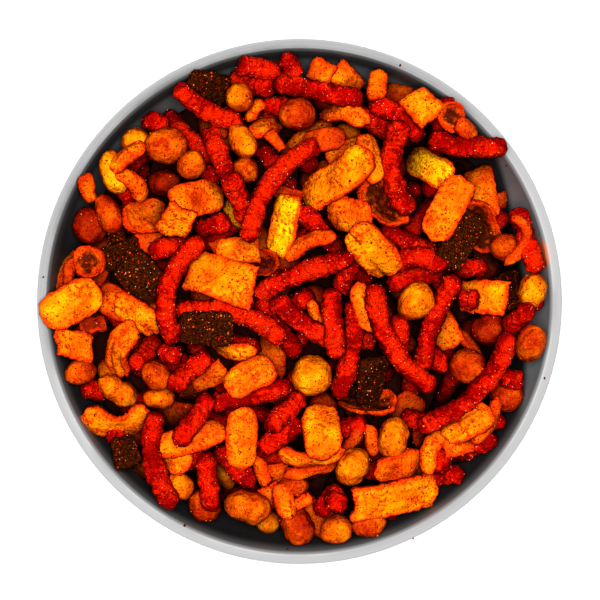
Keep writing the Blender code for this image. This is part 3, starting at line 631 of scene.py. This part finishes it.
# A piece takes the tilt that lets its middle lowest, and then slides off the wall.
def rest(kind, place, sizes, roll, field):
    x, y, heading = place
    form = testPoints(kind, sizes)
    best = None
    centre, step = (0.0, 0.0), settling["tiltStep"]
    for _ in range(settling["tiltRounds"]):
        for i in range(-3, 4):
            for j in range(-2, 3):
                pitch, side = centre[0] + i * step, centre[1] + j * step
                turn = turnAbout("Z", heading) @ turnAbout("Y", pitch) @ turnAbout("X", roll + side)
                points = form @ turn.T + (x, y, 0)
                cost = max(lifts(points, field)) + settling["tiltCost"] * (abs(pitch) + abs(side))
                if best is None or cost < best[0]:
                    best = (cost, pitch, side, turn, points)
        centre, step = best[1:3], step / 3
    turn, points = best[3:5]
    inwards = -np.array((x, y, 0.0)) / max(1.0, math.hypot(x, y))
    cost = settling["slideCost"]
    slid = min(settling["slides"], key=lambda s: max(lifts(points + s * inwards, field)) + cost * s)
    points = points + slid * inwards
    height = max(lifts(points, field))
    points[:, 2] += height
    np.maximum.at(field, cellsOf(points), points[:, 2])
    return turn, np.array((x, y, height)) + slid * inwards


def bedHeight(radius):
    edge, crown = settling["bedEdgeHeight"], settling["bedCrownHeight"]
    return edge + (crown - edge) * (1 - (radius / (wallRadius(edge) - settling["bedGap"])) ** 2)


def settledHeap():
    count = int(2 * settling["fieldHalf"] / settling["cell"])
    across = (np.arange(count) + 0.5) * settling["cell"] - settling["fieldHalf"]
    radius = np.hypot(*np.meshgrid(across, across, indexing="ij"))
    bedReach = wallRadius(settling["bedEdgeHeight"])
    field = np.where(radius < bedReach, bedHeight(radius), settling["noSupport"])
    placed = []
    for layer, kind, place, sizes, roll, looks in hiddenPieces() + shownPieces():
        turn, location = rest(kind, place, sizes, roll, field)
        piece = {"kind": kind, "layer": layer, "place": place[:2], "sizes": sizes, "roll": roll}
        placed.append({**piece, "turn": turn, "at": location, "rolled": 30 < abs(roll) < 90, **looks})
    return placed, field


def smoothedTop(field):  # the heap's general surface, without its gaps
    reach = 3
    shifts = [(i, j) for i in range(2 * reach + 1) for j in range(2 * reach + 1)]
    top = np.where(field < 0, bowlShape["height"] - 4, field)
    for _ in range(3):
        wide = np.pad(top, reach, mode="edge")
        top = sum(wide[i : i + len(top), j : j + len(top)] for i, j in shifts) / len(shifts)
    return top


# Masters, each modelled once in mm. What a piece is cut from is a blank of unit size.
def blankOf(piece, scale):
    points = np.array([v.co for v in piece.data.vertices]) / scale
    faces = [tuple(f.vertices) for f in piece.data.polygons]
    mesh = piece.data
    bpy.data.objects.remove(piece)
    bpy.data.meshes.remove(mesh)
    return points, faces


stickMaking = {
    "lengths": (13, 23, 33, 44, 55),
    "hidden": (28, 10, 1.6),  # length, sides and ring step
    "sides": 24,
    "ringStep": 0.46,
    "ribSpacing": 2.9,
    "ribDepth": 0.026,
    "swellDepth": 0.04,
    "swellPace": 0.22,
    "unevenness": 0.012,
    "drift": 0.06,
    "tipShare": 0.2,
    "roundedEnd": 3.2,
    "seed": 5,
}


# A disc is drawn out ring by ring, each ring a little wider or narrower.
def makeStick(length, sides, ringStep, draw):
    radius, end, tip = pieceSizes["stickRadius"], stickMaking["roundedEnd"], stickMaking["tipShare"]
    uneven, drift = stickMaking["unevenness"], stickMaking["drift"]
    disc = {"vertices": sides, "radius": radius * tip, "fill_type": "NGON"}
    piece = startPiece("stick", bpy.ops.mesh.primitive_circle_add, **disc)
    bpy.ops.transform.rotate(value=math.pi / 2, orient_axis="Y", center_override=(0, 0, 0))
    bpy.ops.transform.translate(value=(-length / 2, 0, 0))
    count = round(length / ringStep)
    before, phase, swell = radius * tip, draw.uniform(0, 6), draw.uniform(0, 6)
    for ring in range(1, count + 1):
        along = ring * length / count
        phase += 2 * math.pi * length / count / stickMaking["ribSpacing"] * draw.uniform(0.6, 1.4)
        swell += stickMaking["swellPace"] * ringStep
        nearEnd = min(1.0, min(along, length - along) / end)
        rounded = tip + (1 - tip) * math.sqrt(1 - (1 - nearEnd) ** 2)
        ribs = stickMaking["ribDepth"] * math.sin(phase) + stickMaking["swellDepth"] * math.sin(swell)
        wide = radius * rounded * (1 + ribs + draw.uniform(-uneven, uneven))
        move = (length / count, draw.uniform(-drift, drift), draw.uniform(-drift, drift))
        bpy.ops.mesh.extrude_region_move(TRANSFORM_OT_translate={"value": move})
        bpy.ops.transform.resize(value=(1, wide / before, wide / before))
        before = wide
    return blankOf(closePiece(piece), (length, radius, radius))


chipMaking = {
    "lengths": (8, 12, 17, 23, 29, 37),
    "widths": (6, 9, 12, 15, 18),
    "hidden": (24, 13, 2.6),  # length, width and cell
    "cell": 0.76,
    "rim": 0.6,
    "edgeShare": 0.62,
    "crowding": 1.22,
    "edgeFade": {"plain": 2.6, "grooved": 2.6, "scoop": 4.2, "broken": 2.6},
    "groove": (0.2, 0.07, 0.35),  # place and reach across the chip, and depth
    "cornerRound": {"plain": 0.80, "grooved": 0.8, "scoop": 0.9, "broken": 0.10},
    "raggedness": {"plain": 0.035, "grooved": 0.035, "scoop": 0.05, "broken": 0.06},
    "nicks": {"plain": 0.18, "grooved": 0.20, "scoop": 0.22, "broken": 0.28},
    "slant": {"plain": 0.11, "grooved": 0.12, "scoop": 0.15, "broken": 0.19},
    "stretch": (1.06, 1.05),
    "rolledStretch": (1.06, 1.25),
    "rollBack": 27,
    "narrowing": {"plain": 0.12, "grooved": 0.12, "scoop": 0.30, "broken": 0.0},
    "troughs": {"plain": 1.2, "broken": 0.8, "grooved": 1.2, "scoop": 3.6},
    "wave": 0.7,
    "ripple": 0.14,
}


# A fine grid is drawn up into a plate of unit size, and its cells are drawn closer towards the rim.
def makeChip(length, width, cell):
    cuts = {"x_subdivisions": round(length / cell), "y_subdivisions": round(width / cell) + 2}
    piece = startPiece("chip", bpy.ops.mesh.primitive_grid_add, size=1, **cuts)
    bpy.ops.mesh.extrude_region_move(TRANSFORM_OT_translate={"value": (0, 0, 1)})
    bpy.ops.mesh.select_all(action="SELECT")
    bpy.ops.transform.translate(value=(0, 0, -0.5))
    points, faces = blankOf(closePiece(piece), 1)
    crowding = chipMaking["crowding"]
    points[:, :2] = np.sin(points[:, :2] * 2 * crowding) / math.sin(crowding) / 2
    return points, faces


def nearest(values, size):
    return min(values, key=lambda value: abs(value - size))


# The plate's outline is rounded or broken off, and its rim thinned. Also gives how near each point is to it.
def chipBlank(blank, form, length, width, draw):
    x, y = 2 * blank[:, 0], 2 * blank[:, 1]
    inside = np.minimum((1 - np.abs(x)) * length / 2, (1 - np.abs(y)) * width / 2)
    rim = np.sqrt(1 - (1 - np.clip(inside / chipMaking["rim"], 0, 1)) ** 2)
    thick = chipMaking["edgeShare"] + (1 - chipMaking["edgeShare"]) * rim
    ragged = chipMaking["raggedness"][form]
    waves = [(draw.uniform(1.5, 5.0), draw.uniform(0, 6)) for _ in range(6)]
    slants = [draw.uniform(-1, 1) * chipMaking["slant"][form] for _ in range(3)]
    end = 1 - ragged * (1 + sum(np.sin(k * y + p + 2 * np.sign(x)) for k, p in waves[:3]) / 2)
    end = end + np.where(x > 0, slants[0], slants[1]) * y * width / length
    side = 1 - ragged * 0.5 * (1 + sum(np.sin(k * x + p + 2 * np.sign(y)) for k, p in waves[3:]) / 2)
    side = side + slants[2] * 0.4 * x
    nicks = [(draw.uniform(0.9, 1.9), draw.uniform(0, 6)) for _ in range(4)]
    nick = chipMaking["nicks"][form]
    end = end + sum(np.sin(k * y * width + p) for k, p in nicks[:2]) * nick / length
    side = side + sum(np.sin(k * x * length / 2 + p) for k, p in nicks[2:]) * nick / width
    straight = max(0.1, 1 - width / length)
    t = np.clip((np.abs(x) - straight) / (1 - straight), 0, 1)
    rounding = chipMaking["cornerRound"][form]
    u = t * np.sqrt(1 - rounding * y * y / 2)
    v = y * np.sqrt(1 - rounding * t * t / 2)
    x = np.sign(x) * (np.minimum(np.abs(x), straight) + (1 - straight) * u) * end
    nearRim = 1 - np.clip(inside / chipMaking["edgeFade"][form], 0, 1)
    return np.column_stack((x / 2, v * side / 2, blank[:, 2] * thick)), nearRim


nutMaking = {"levels": {"hidden": 3, "small": 4, "large": 5}, "largeFrom": 14.9}


def makeNut(subdivisions):
    piece = startPiece("nut", bpy.ops.mesh.primitive_ico_sphere_add, subdivisions=subdivisions, radius=1)
    return blankOf(closePiece(piece), 1)


ryeMaking = {"cuts": 34, "edgeRound": 0.10}


def makeRye():  # a finely cut block with its corners taken in
    piece = startPiece("rye", bpy.ops.mesh.primitive_cube_add, size=1)
    bpy.ops.mesh.subdivide(number_cuts=ryeMaking["cuts"])
    closePiece(piece)
    points, faces = blankOf(piece, 1)
    for axis, other in ((0, 1), (1, 0)):
        nearEdge = np.clip(np.abs(2 * points[:, other]) - 0.7, 0, 1) / 0.3
        points[:, axis] *= 1 - ryeMaking["edgeRound"] * nearEdge
    points[:, :2] *= (1 - 0.06 * np.abs(2 * points[:, 2]) ** 3)[:, None]
    return points, faces


def joined(name, parts):  # one mesh of many copies, each (points in mm, faces, {attribute: values})
    counts = np.cumsum([0] + [len(points) for points, _, _ in parts])
    mesh = bpy.data.meshes.new(name)
    corners = [[v + start for v in face] for (_, faces, _), start in zip(parts, counts) for face in faces]
    points = np.concatenate([points for points, _, _ in parts])
    mesh.from_pydata(points * mm, [], corners)
    for key in parts[0][2]:
        values = np.concatenate([np.broadcast_to(part[2][key], len(part[0])) for part in parts])
        mesh.attributes.new(key, "FLOAT", "POINT").data.foreach_set("value", values.astype(np.float32))
    mesh.update()
    piece = bpy.data.objects.new(name, mesh)
    bpy.context.scene.collection.objects.link(piece)
    return piece


def pointsOf(piece, key="co"):
    values = np.empty(len(piece.data.vertices) * 3, np.float32)
    piece.data.vertices.foreach_get(key, values)
    return values.reshape(-1, 3)


def buriedDepth(points, top):  # 0 on the heap's surface, 1 well below it; how much painted shade a point gets
    below = top[cellsOf(points)] - points[:, 2]
    return np.clip(below / 12.0, 0, 1)


# A copy is its points in mm round its own middle, and its faces. What its finish reads goes into looks.
def stickCopy(piece, master, looks, draw):
    length, turn = piece["sizes"]
    blank = master[0] @ turnAbout("X", draw.uniform(0, 360)).T
    looks["rib"] = np.clip((np.hypot(blank[:, 1], blank[:, 2]) - 1) * 9, -1, 1)
    looks["along"] = blank[:, 0] * length + draw.uniform(0, 500)
    lean = 0.5 * np.sin(np.arctan2(blank[:, 1], blank[:, 2]) * 2 + draw.uniform(0, 6) + 9 * blank[:, 0])
    blank[:, 0] += lean * (0.5 - np.abs(blank[:, 0])).clip(0, 0.1) * 10 / length
    more, longer = stickBends.get(piece["place"], (0, 1))
    return stickForm(blank, length * longer, turn + more), master[1]


def chipCopy(piece, masters, looks, draw):
    form, (length, width, arch) = piece["form"], piece["sizes"]
    stretch = chipMaking["rolledStretch" if piece["rolled"] else "stretch"]
    sweep, longer, wider, narrowing = piece["curve"] or (0, 1, 1, chipMaking["narrowing"][form])
    length, width = length * stretch[0] * longer, width * stretch[1] * wider
    near = (nearest(chipMaking["lengths"], length), nearest(chipMaking["widths"], width))
    if piece["layer"] == 0:
        near = "hidden"
    elif near not in masters:
        masters[near] = makeChip(*near, chipMaking["cell"])
    blank, faces = masters[near]
    blank, looks["edge"] = chipBlank(blank, form, length, width, draw)
    # the middle of a scooped chip, where its hollow gets painted shade
    looks["hollow"] = (1 - looks["edge"]) * (form == "scoop")
    if form == "grooved":
        place, reach, depth = chipMaking["groove"]
        groove = np.exp(-(((np.abs(blank[:, 1]) - place) / reach) ** 2))
        blank[:, 2] -= depth * groove * (blank[:, 2] > 0)
    local = chipForm(blank, length, width, arch, chipMaking["troughs"][form], narrowing)
    local = bent(local, sweep, 0, 1)
    local[:, 1] -= 0.6 * local[:, 1].mean()
    if piece["rolled"]:  # back towards flat, so that more of the face shows
        piece["turn"] = piece["turn"] @ turnAbout("X", -math.copysign(chipMaking["rollBack"], piece["roll"]))
    first, second, third = (draw.uniform(0, 6) for _ in range(3))
    waves = np.sin(local[:, 0] * 0.35 + first) * np.sin(local[:, 1] * 0.3 + second)
    local[:, 2] += chipMaking["wave"] * waves
    local[:, 2] += chipMaking["ripple"] * np.sin(local[:, 1] * 1.7 + 0.15 * local[:, 0] + third)
    return local, faces


def nutCopy(piece, masters):
    hidden, large = piece["layer"] == 0, piece["sizes"][0] > nutMaking["largeFrom"]
    blank, faces = masters["hidden" if hidden else "large" if large else "small"]
    blank = blank.copy()
    blank[:, 1:] *= (1 - piece["waist"] * np.exp(-((blank[:, 0] / 0.3) ** 2)))[:, None]
    return nutForm(blank, *piece["sizes"]), faces


def makeHeap(heap, top):
    draw = random.Random(stickMaking["seed"])
    fine = (stickMaking["sides"], stickMaking["ringStep"])
    stickMasters = {length: makeStick(length, *fine, draw) for length in stickMaking["lengths"]}
    coarseStick = makeStick(*stickMaking["hidden"], draw)
    say("stick masters are made")
    chipMasters = {"hidden": makeChip(*chipMaking["hidden"])}
    nutMasters = {key: makeNut(level) for key, level in nutMaking["levels"].items()}
    rye = makeRye()
    say("chip, nut and rye masters are made")
    parts = {kind: [] for kind in forms}
    for piece in heap:
        kind, sizes, hidden = piece["kind"], piece["sizes"], piece["layer"] == 0
        looks = {"tone": piece.get("tone", draw.uniform(0, 1))}
        if kind == "stick":
            near = min(stickMasters, key=lambda length: abs(math.log(length / sizes[0])))
            local, faces = stickCopy(piece, coarseStick if hidden else stickMasters[near], looks, draw)
        elif kind == "chip":
            local, faces = chipCopy(piece, chipMasters, looks, draw)
        elif kind == "nut":
            local, faces = nutCopy(piece, nutMasters)
        else:
            local, faces = slabForm(rye[0], *sizes), rye[1]
        aside = (*nudges.get(piece["place"], (0, 0)), raises.get(piece["place"], 0))
        placed = local @ piece["turn"].T + piece["at"] + aside
        looks["buried"] = buriedDepth(placed, top)
        parts[kind].append((placed, faces, looks))
    return parts


# Each kind's own relief, in mm: (size of the lumps, how far they stand out or in).
relief = {
    "redCornSticks": ((8.0, 2.0), (2.7, 1.6), (1.1, 0.8)),
    "cornChips": ((9.0, 1.8), (3.0, 0.7), (1.2, 0.35)),
    "coatedNuts": ((9.0, 2.2), (3.0, 0.8), (1.6, 0.2)),
    "ryeChips": ((7.0, 1.6), (1.6, 0.5), (0.8, 0.4)),
    "heapCore": ((6.0, 2.0),),
}
stickLook = {
    "deep": (0.42, 0.002, 0.0005),
    "red": (0.90, 0.018, 0.0008),
    "glow": (0.97, 0.064, 0.001),
    "specks": (
        (1.2, 0.25, 0.60, 0.9, (0.04, 0.003, 0.001)),
        (1.9, 0.26, 0.30, 0.7, (0.95, 0.22, 0.02)),
        (2.0, 0.17, 0.24, 0.9, (1.0, 0.62, 0.55)),
    ),
}
chipLook = {
    "tones": (
        (0.0, (0.92, 0.52, 0.003)),
        (0.18, (0.90, 0.32, 0.001)),
        (0.35, (0.86, 0.225, 0.001)),
        (0.60, (0.76, 0.125, 0.001)),
        (0.85, (0.52, 0.05, 0.001)),
        (1.0, (0.20, 0.02, 0.002)),
    ),
    "mottle": (0.62, 0.040, 0.001),
    "edge": (0.70, 0.065, 0.001),
    "hollow": (0.055, 0.006, 0.001),
    "specks": ((1.5, 0.36, 0.50, 0.85, (0.45, 0.010, 0.001)), (1.25, 0.27, 0.42, 1.0, (0.03, 0.003, 0.001))),
    "salt": ((3.3, 0.18, 0.25, 0.8, (1.0, 0.72, 0.60)),),
}
nutLook = {
    "tones": (
        (0.0, (0.92, 0.43, 0.005)),
        (0.15, (0.90, 0.34, 0.003)),
        (0.35, (0.78, 0.19, 0.001)),
        (0.65, (0.53, 0.066, 0.001)),
        (0.85, (0.34, 0.026, 0.001)),
        (1.0, (0.17, 0.009, 0.001)),
    ),
    "mottle": (0.42, 0.022, 0.001),
    "specks": ((1.25, 0.26, 0.38, 1.0, (0.05, 0.006, 0.001)), (3.0, 0.18, 0.25, 0.8, (1.0, 0.62, 0.50))),
}
ryeLook = {
    "dark": (0.022, 0.0045, 0.001),
    "brown": (0.115, 0.028, 0.004),
    "specks": (
        (2.3, 0.34, 0.42, 0.9, (0.65, 0.20, 0.03)),
        (1.3, 0.26, 0.36, 0.9, (0.65, 0.045, 0.004)),
        (2.1, 0.20, 0.30, 0.9, (0.85, 0.42, 0.30)),
    ),
}
looseLook = {
    "coreShadeDark": (0.008, 0.002, 0.001),
    "coreShadeBrown": (0.05, 0.008, 0.002),
    "crumbTones": (
        (0.0, (0.25, 0.006, 0.001)),
        (0.5, (0.70, 0.03, 0.002)),
        (0.8, (0.85, 0.14, 0.004)),
        (1.0, (0.9, 0.30, 0.02)),
    ),
    "crumbMottle": (0.2, 0.01, 0.001),
    "saltTones": ((0.95, 0.42, 0.32), (1.0, 0.82, 0.74)),
}


def stickFinish():
    finish = Finish("red corn crust", Roughness=0.62, Specular_IOR_Level=0.05)
    raised = finish.attribute("raised")
    # Painted light and shade on the relief: what stands out is painted redder and more orange, and what
    # sinks in deep red; the rest of the patches and grain is the stick's own mottled red.
    patches = finish.band(finish.noise(7.0) + raised * 0.12, 0.34, 0.60)
    grain = finish.band(finish.noise(1.0, 4.0) + raised * 0.16, 0.44, 0.70)
    colour = finish.mix(patches, stickLook["deep"], stickLook["red"])
    colour = finish.mix(grain * 0.7, colour, stickLook["glow"])
    colour = finish.mix(finish.band(raised, -0.2, -0.9) * 0.6, colour, stickLook["deep"])
    colour = finish.speckled(colour, stickLook["specks"])
    # Darker in the troughs of the wrinkles: painted shade in their creases.
    along = finish.attribute("along") * 0.6 + finish.noise(2.6, 3.0) * 3.4
    sockets = {"W": along, "Scale": 1.0, "Detail": 3.0}
    wrinkles = finish.add("ShaderNodeTexNoise", {"noise_dimensions": "1D"}, sockets)
    colour = finish.mix(finish.band(wrinkles, 0.47, 0.32) * 0.45, colour, stickLook["deep"])
    height = finish.noise(0.9, 4.0) * 1.4 + finish.noise(2.0, 2.0) * 0.9 + wrinkles * 0.9
    # painted shade on the sides and deep in the heap
    colour = finish.withPaintedShade(finish.grained(colour, 0.8, 0.66), 0.03, 0.95, 0.20)
    return finish.finished(colour, height, 1.5, 1.0)


def chipFinish():
    finish = Finish("corn chip", Roughness=0.5, Specular_IOR_Level=0.06)
    edge, raised = finish.attribute("edge"), finish.attribute("raised")
    # Raised parts are painted yellower and sunken ones redder, painted light and shade on the relief; the
    # tone, noise and redder edge are the chip's own colour.
    warmth = finish.attribute("tone") + (finish.noise(8.0) - 0.54) * 1.0 + edge * 0.12 - raised * 0.12
    colour = finish.ramp(warmth, *chipLook["tones"])
    rim = finish.band(edge + finish.noise(3.0, 3.0) * 1.2, 0.80, 1.45)
    colour = finish.mix(rim * 0.85, colour, chipLook["edge"])
    mottle = finish.band(finish.noise(1.6, 5.0), 0.51, 0.58) * finish.band(finish.noise(9.0), 0.35, 0.60)
    colour = finish.mix(mottle * 0.8, colour, chipLook["mottle"])
    colour = finish.speckled(colour, chipLook["specks"])
    # Painted shade, near black, in the hollow of scooped chips, on both faces.
    hollow = finish.band(finish.attribute("hollow") + (finish.noise(2.6, 4.0) - 0.5) * 1.4, 0.45, 1.05)
    colour = finish.mix(hollow * 0.92, colour, chipLook["hollow"])
    colour = finish.speckled(colour, chipLook["salt"])
    height = finish.noise(2.0, 3.0) + finish.noise(0.9, 3.0) * 0.6 + finish.specks(1.4, 0.5, 0.6) * 0.25
    # painted shade on the sides and deep in the heap
    colour = finish.withPaintedShade(finish.grained(colour, 0.9, 0.42), 0.03)
    return finish.finished(colour, height, 1.0, 0.9)


def nutFinish():
    finish = Finish("coated nut", Roughness=0.5, Specular_IOR_Level=0.04)
    raised = finish.attribute("raised")
    # Raised parts are painted yellower and sunken ones redder, painted light and shade on the relief; the
    # tone and noise are the nut's own colour.
    warmth = finish.attribute("tone") + (finish.noise(8.0) - 0.5) * 0.8 - raised * 0.10
    colour = finish.ramp(warmth, *nutLook["tones"])
    toasted = finish.band(finish.attribute("tone"), 0.22, 0.60)  # pale nuts are plainer than dark ones
    mottle = finish.band(finish.noise(1.5, 5.0), 0.51, 0.59) * finish.band(finish.noise(8.0), 0.32, 0.60)
    colour = finish.mix(mottle * (toasted * 0.65 + 0.2), colour, nutLook["mottle"])
    colour = finish.mix(finish.specks(1.5, 0.34, 0.40) * (toasted * 0.4 + 0.45), colour, nutLook["mottle"])
    colour = finish.speckled(colour, nutLook["specks"])
    height = (finish.specks(1.1, 0.45, 0.65) + finish.noise(0.8, 1.0)) * 0.35 + finish.noise(2.0, 1.0) * 0.5
    # painted shade on the sides and deep in the heap
    colour = finish.withPaintedShade(finish.grained(colour, 0.9, 0.38), 0.03, 1.0, 0.30)
    return finish.finished(colour, height, 0.8, 0.9)


def ryeFinish():
    finish = Finish("dark rye", Roughness=0.8, Specular_IOR_Level=0.03)
    colour = finish.mix(finish.band(finish.noise(0.8, 4.0), 0.34, 0.68), ryeLook["dark"], ryeLook["brown"])
    colour = finish.speckled(colour, ryeLook["specks"])
    # painted shade on the sides and deep in the heap
    return finish.finished(finish.withPaintedShade(colour, 0.3), finish.noise(0.9, 4.0), 0.9, 1.0)


# Near black, painted shade: the core under the heap stands for the shade in the depths between the pieces.
def coreFinish():
    finish = Finish("painted shade below", Roughness=0.9, Specular_IOR_Level=0.1)
    colour = finish.mix(finish.noise(3.0, 3.0), looseLook["coreShadeDark"], looseLook["coreShadeBrown"])
    return finish.finished(colour, finish.noise(2.0, 3.0), 1.0, 1.0)


def crumbFinish():
    finish = Finish("seasoning crumbs", Roughness=0.7, Specular_IOR_Level=0.05)
    colour = finish.ramp(finish.attribute("tone"), *looseLook["crumbTones"])
    colour = finish.mix(finish.noise(0.8, 2.0) * 0.3, colour, looseLook["crumbMottle"])
    # painted shade on the sides and deep in the heap
    return finish.finished(finish.withPaintedShade(colour, 0.1), finish.noise(0.5), 0.2, 0.6)


def saltFinish():
    finish = Finish("salt grains", Roughness=0.35, Specular_IOR_Level=0.5)
    colour = finish.mix(finish.attribute("tone"), *looseLook["saltTones"])
    return finish.finished(colour, finish.noise(0.3), 0.05, 0.5)


# Loose grains: the seed of their draws, how many, their size in mm, and which kinds they lie on.
grains = {
    "seasoningCrumbs": {
        "seed": 21,
        "count": 2400,
        "sizes": (0.35, 1.05),
        "on": ("redCornSticks", "cornChips", "coatedNuts", "ryeChips", "heapCore"),
    },
    "saltGrains": {"seed": 22, "count": 380, "sizes": (0.24, 0.42), "on": ("redCornSticks", "ryeChips")},
}
grainReach = 103
rimSeed = 31
rimSpecks = (  # where crumbs lie on the rim and on the wall below it
    (-107.0, 10.2), (42.0, 98.6), (87.0, 57.0), (102.3, -32.0), (47.5, -99.0), (-48.0, -93.6),
    (22.0, -100.6), (-5.0, -104.0), (-22.8, -97.7),
)


def rayTree(piece):
    mesh = piece.data
    return BVHTree.FromPolygons([v.co for v in mesh.vertices], [tuple(f.vertices) for f in mesh.polygons])


def dropped(tree, x, y):  # the spot in metres that something let fall at x and y, in mm, hits first
    return tree.ray_cast(Vector((x * mm, y * mm, 0.2)), Vector((0, 0, -1)))[0]


def scattered(name, spec, kinds, top):  # grains dropped from above on to the pieces named
    draw = random.Random(spec["seed"])
    trees = {key: rayTree(piece) for key, piece in kinds.items()}
    grain = startPiece(name + "Master", bpy.ops.mesh.primitive_ico_sphere_add, subdivisions=1, radius=0.5)
    blank, faces = blankOf(closePiece(grain), 1)
    parts = []
    while len(parts) < spec["count"]:
        reach, angle = grainReach * math.sqrt(draw.random()), draw.uniform(0, 2 * math.pi)
        x, y = reach * math.cos(angle), reach * math.sin(angle)
        spots = {key: dropped(tree, x, y) for key, tree in trees.items()}
        hits = [(spot.z, spot, key) for key, spot in spots.items() if spot is not None]
        size, tone = draw.uniform(*spec["sizes"]), draw.random()
        stretch = np.array([draw.uniform(0.7, 1.3) for _ in range(3)])
        turn = turnAbout("Z", draw.uniform(0, 360)) @ turnAbout("X", draw.uniform(0, 360))
        if not hits:
            continue
        _, spot, key = max(hits)
        if key not in spec["on"]:
            continue
        placed = (blank * stretch * size) @ turn.T + np.array(spot) / mm + (0, 0, size * 0.12)
        parts.append((placed, faces, {"tone": tone, "buried": buriedDepth(placed, top)}))
    return joined(name, parts)


def makeRimCrumbs(bowl):  # small dark crumbs let down on to the rim
    draw = random.Random(rimSeed)
    tree = rayTree(bowl)
    grain = startPiece("rimCrumb", bpy.ops.mesh.primitive_ico_sphere_add, subdivisions=2, radius=0.5)
    bpy.ops.transform.resize(value=(1.25, 0.8, 0.55))
    blank, faces = blankOf(closePiece(grain), 1)
    parts = []
    for x, y in rimSpecks:
        size = draw.uniform(0.8, 1.3)
        at = (x, y, dropped(tree, x, y).z / mm + 0.15 * size)
        placed = (blank * size) @ turnAbout("Z", draw.uniform(0, 360)).T + at
        parts.append((placed, faces, {"tone": 0.0, "buried": 0.6}))
    return joined("rimCrumbs", parts)


coreSteps = {"wall": 14, "crown": 30, "spin": 96}


def makeCore():
    edge = settling["bedEdgeHeight"]
    gap = settling["bedGap"]
    profile = wallPoints(bowlShape["centreHeight"] - bowlShape["depth"] + gap, edge, coreSteps["wall"], -gap)
    shares = np.linspace(0.97, 0, coreSteps["crown"])
    profile += [(radius, bedHeight(radius)) for radius in profile[-1][0] * shares]
    return turned("heapCore", profile, coreSteps["spin"])


say("letting the heap settle")
heap, field = settledHeap()
top = smoothedTop(field)
say(f"{len(heap)} pieces are at rest, {field.max():.1f} mm up at most")

bowl = dressed(makeBowl(), "bowl", glazeFinish(), "bowl")
parts = makeHeap(heap, top)
snacks = {
    "stick": ("redCornSticks", stickFinish),
    "chip": ("cornChips", chipFinish),
    "nut": ("coatedNuts", nutFinish),
    "slab": ("ryeChips", ryeFinish),
}
kinds = {}
for kind, (name, finish) in snacks.items():
    piece = joined(name, parts[kind])
    before, normals = pointsOf(piece), pointsOf(piece, "normal")
    for size, strength in relief[name]:
        roughened(piece, size, strength)
    # How far the lumps moved each point out or in; the finishes paint light on what stands out and shade in
    # what sinks in.
    moved = ((pointsOf(piece) - before) * normals).sum(axis=1) / mm
    ribs = np.concatenate([part[2].get("rib", np.zeros(len(part[0]))) for part in parts[kind]])
    raised = np.clip(moved * 1.2 + ribs, -1, 1).astype(np.float32)
    piece.data.attributes.new("raised", "FLOAT", "POINT").data.foreach_set("value", raised)
    kinds[name] = dressed(piece, "trail_mix", finish(), "trail_mix")
core = makeCore()
for size, strength in relief["heapCore"]:
    roughened(core, size, strength)
kinds["heapCore"] = dressed(core, "trail_mix", coreFinish(), "trail_mix")
for name, finish in (("seasoningCrumbs", crumbFinish), ("saltGrains", saltFinish)):
    dressed(scattered(name, grains[name], kinds, top), "trail_mix", finish(), "trail_mix")
dressed(makeRimCrumbs(bowl), "trail_mix", crumbFinish(), "trail_mix")

# The studio: a pale floor, one soft light overhead, a little light from all round, and the camera above.
studio = {
    "floorSize": 4.0,
    "floorGreys": ((0.96, 0.96, 0.96), (0.98, 0.98, 0.98)),
    "lightSize": 0.45,
    "lightPlace": (-0.02, 0.04, 0.90),
    "lightAim": (0, 0, 0.07),
    "lightPower": 9.5,
    "fill": 0.11,
    "lens": 90.0,
    "sensor": 36.0,
    "pictureWidth": 600 / 526 * 0.220,
    "aim": (0.0002, 0.0006),
    "aimHeight": 0.071,
    "aside": (-0.02, 0.02),
}


def makeStudio():
    floor = startPiece("floor", bpy.ops.mesh.primitive_plane_add, size=studio["floorSize"])
    bpy.ops.mesh.subdivide(number_cuts=4)
    closePiece(floor)
    finish = Finish("pale floor", Roughness=0.9)
    paleGrey = finish.mix(finish.noise(120.0), *studio["floorGreys"])
    floor.data.materials.append(finish.finished(paleGrey))
    lamp = bpy.data.lights.new("overhead", "AREA")
    lamp.size, lamp.energy = studio["lightSize"], studio["lightPower"]
    overhead = bpy.data.objects.new("overhead", lamp)
    overhead.location = studio["lightPlace"]
    towards = Vector(studio["lightAim"]) - overhead.location
    overhead.rotation_euler = towards.to_track_quat("-Z", "Y").to_euler()
    world = bpy.data.worlds.new("room")
    world.use_nodes = True
    world.node_tree.nodes["Background"].inputs["Color"].default_value = (1, 1, 1, 1)
    world.node_tree.nodes["Background"].inputs["Strength"].default_value = studio["fill"]
    bpy.context.scene.world = world
    eye = bpy.data.cameras.new("above")
    eye.lens, eye.sensor_width = studio["lens"], studio["sensor"]
    camera = bpy.data.objects.new("above", eye)
    far = studio["pictureWidth"] * studio["lens"] / studio["sensor"] + studio["aimHeight"]
    camera.location = (*(at + off for at, off in zip(studio["aim"], studio["aside"])), far)
    eye.shift_x, eye.shift_y = (-off / studio["pictureWidth"] for off in studio["aside"])
    for made in (overhead, camera):
        bpy.context.scene.collection.objects.link(made)
    bpy.context.scene.camera = camera
    bpy.context.scene.view_settings.view_transform = "Standard"
    bpy.context.scene.view_settings.look = "High Contrast"


makeStudio()
say("the studio is set")
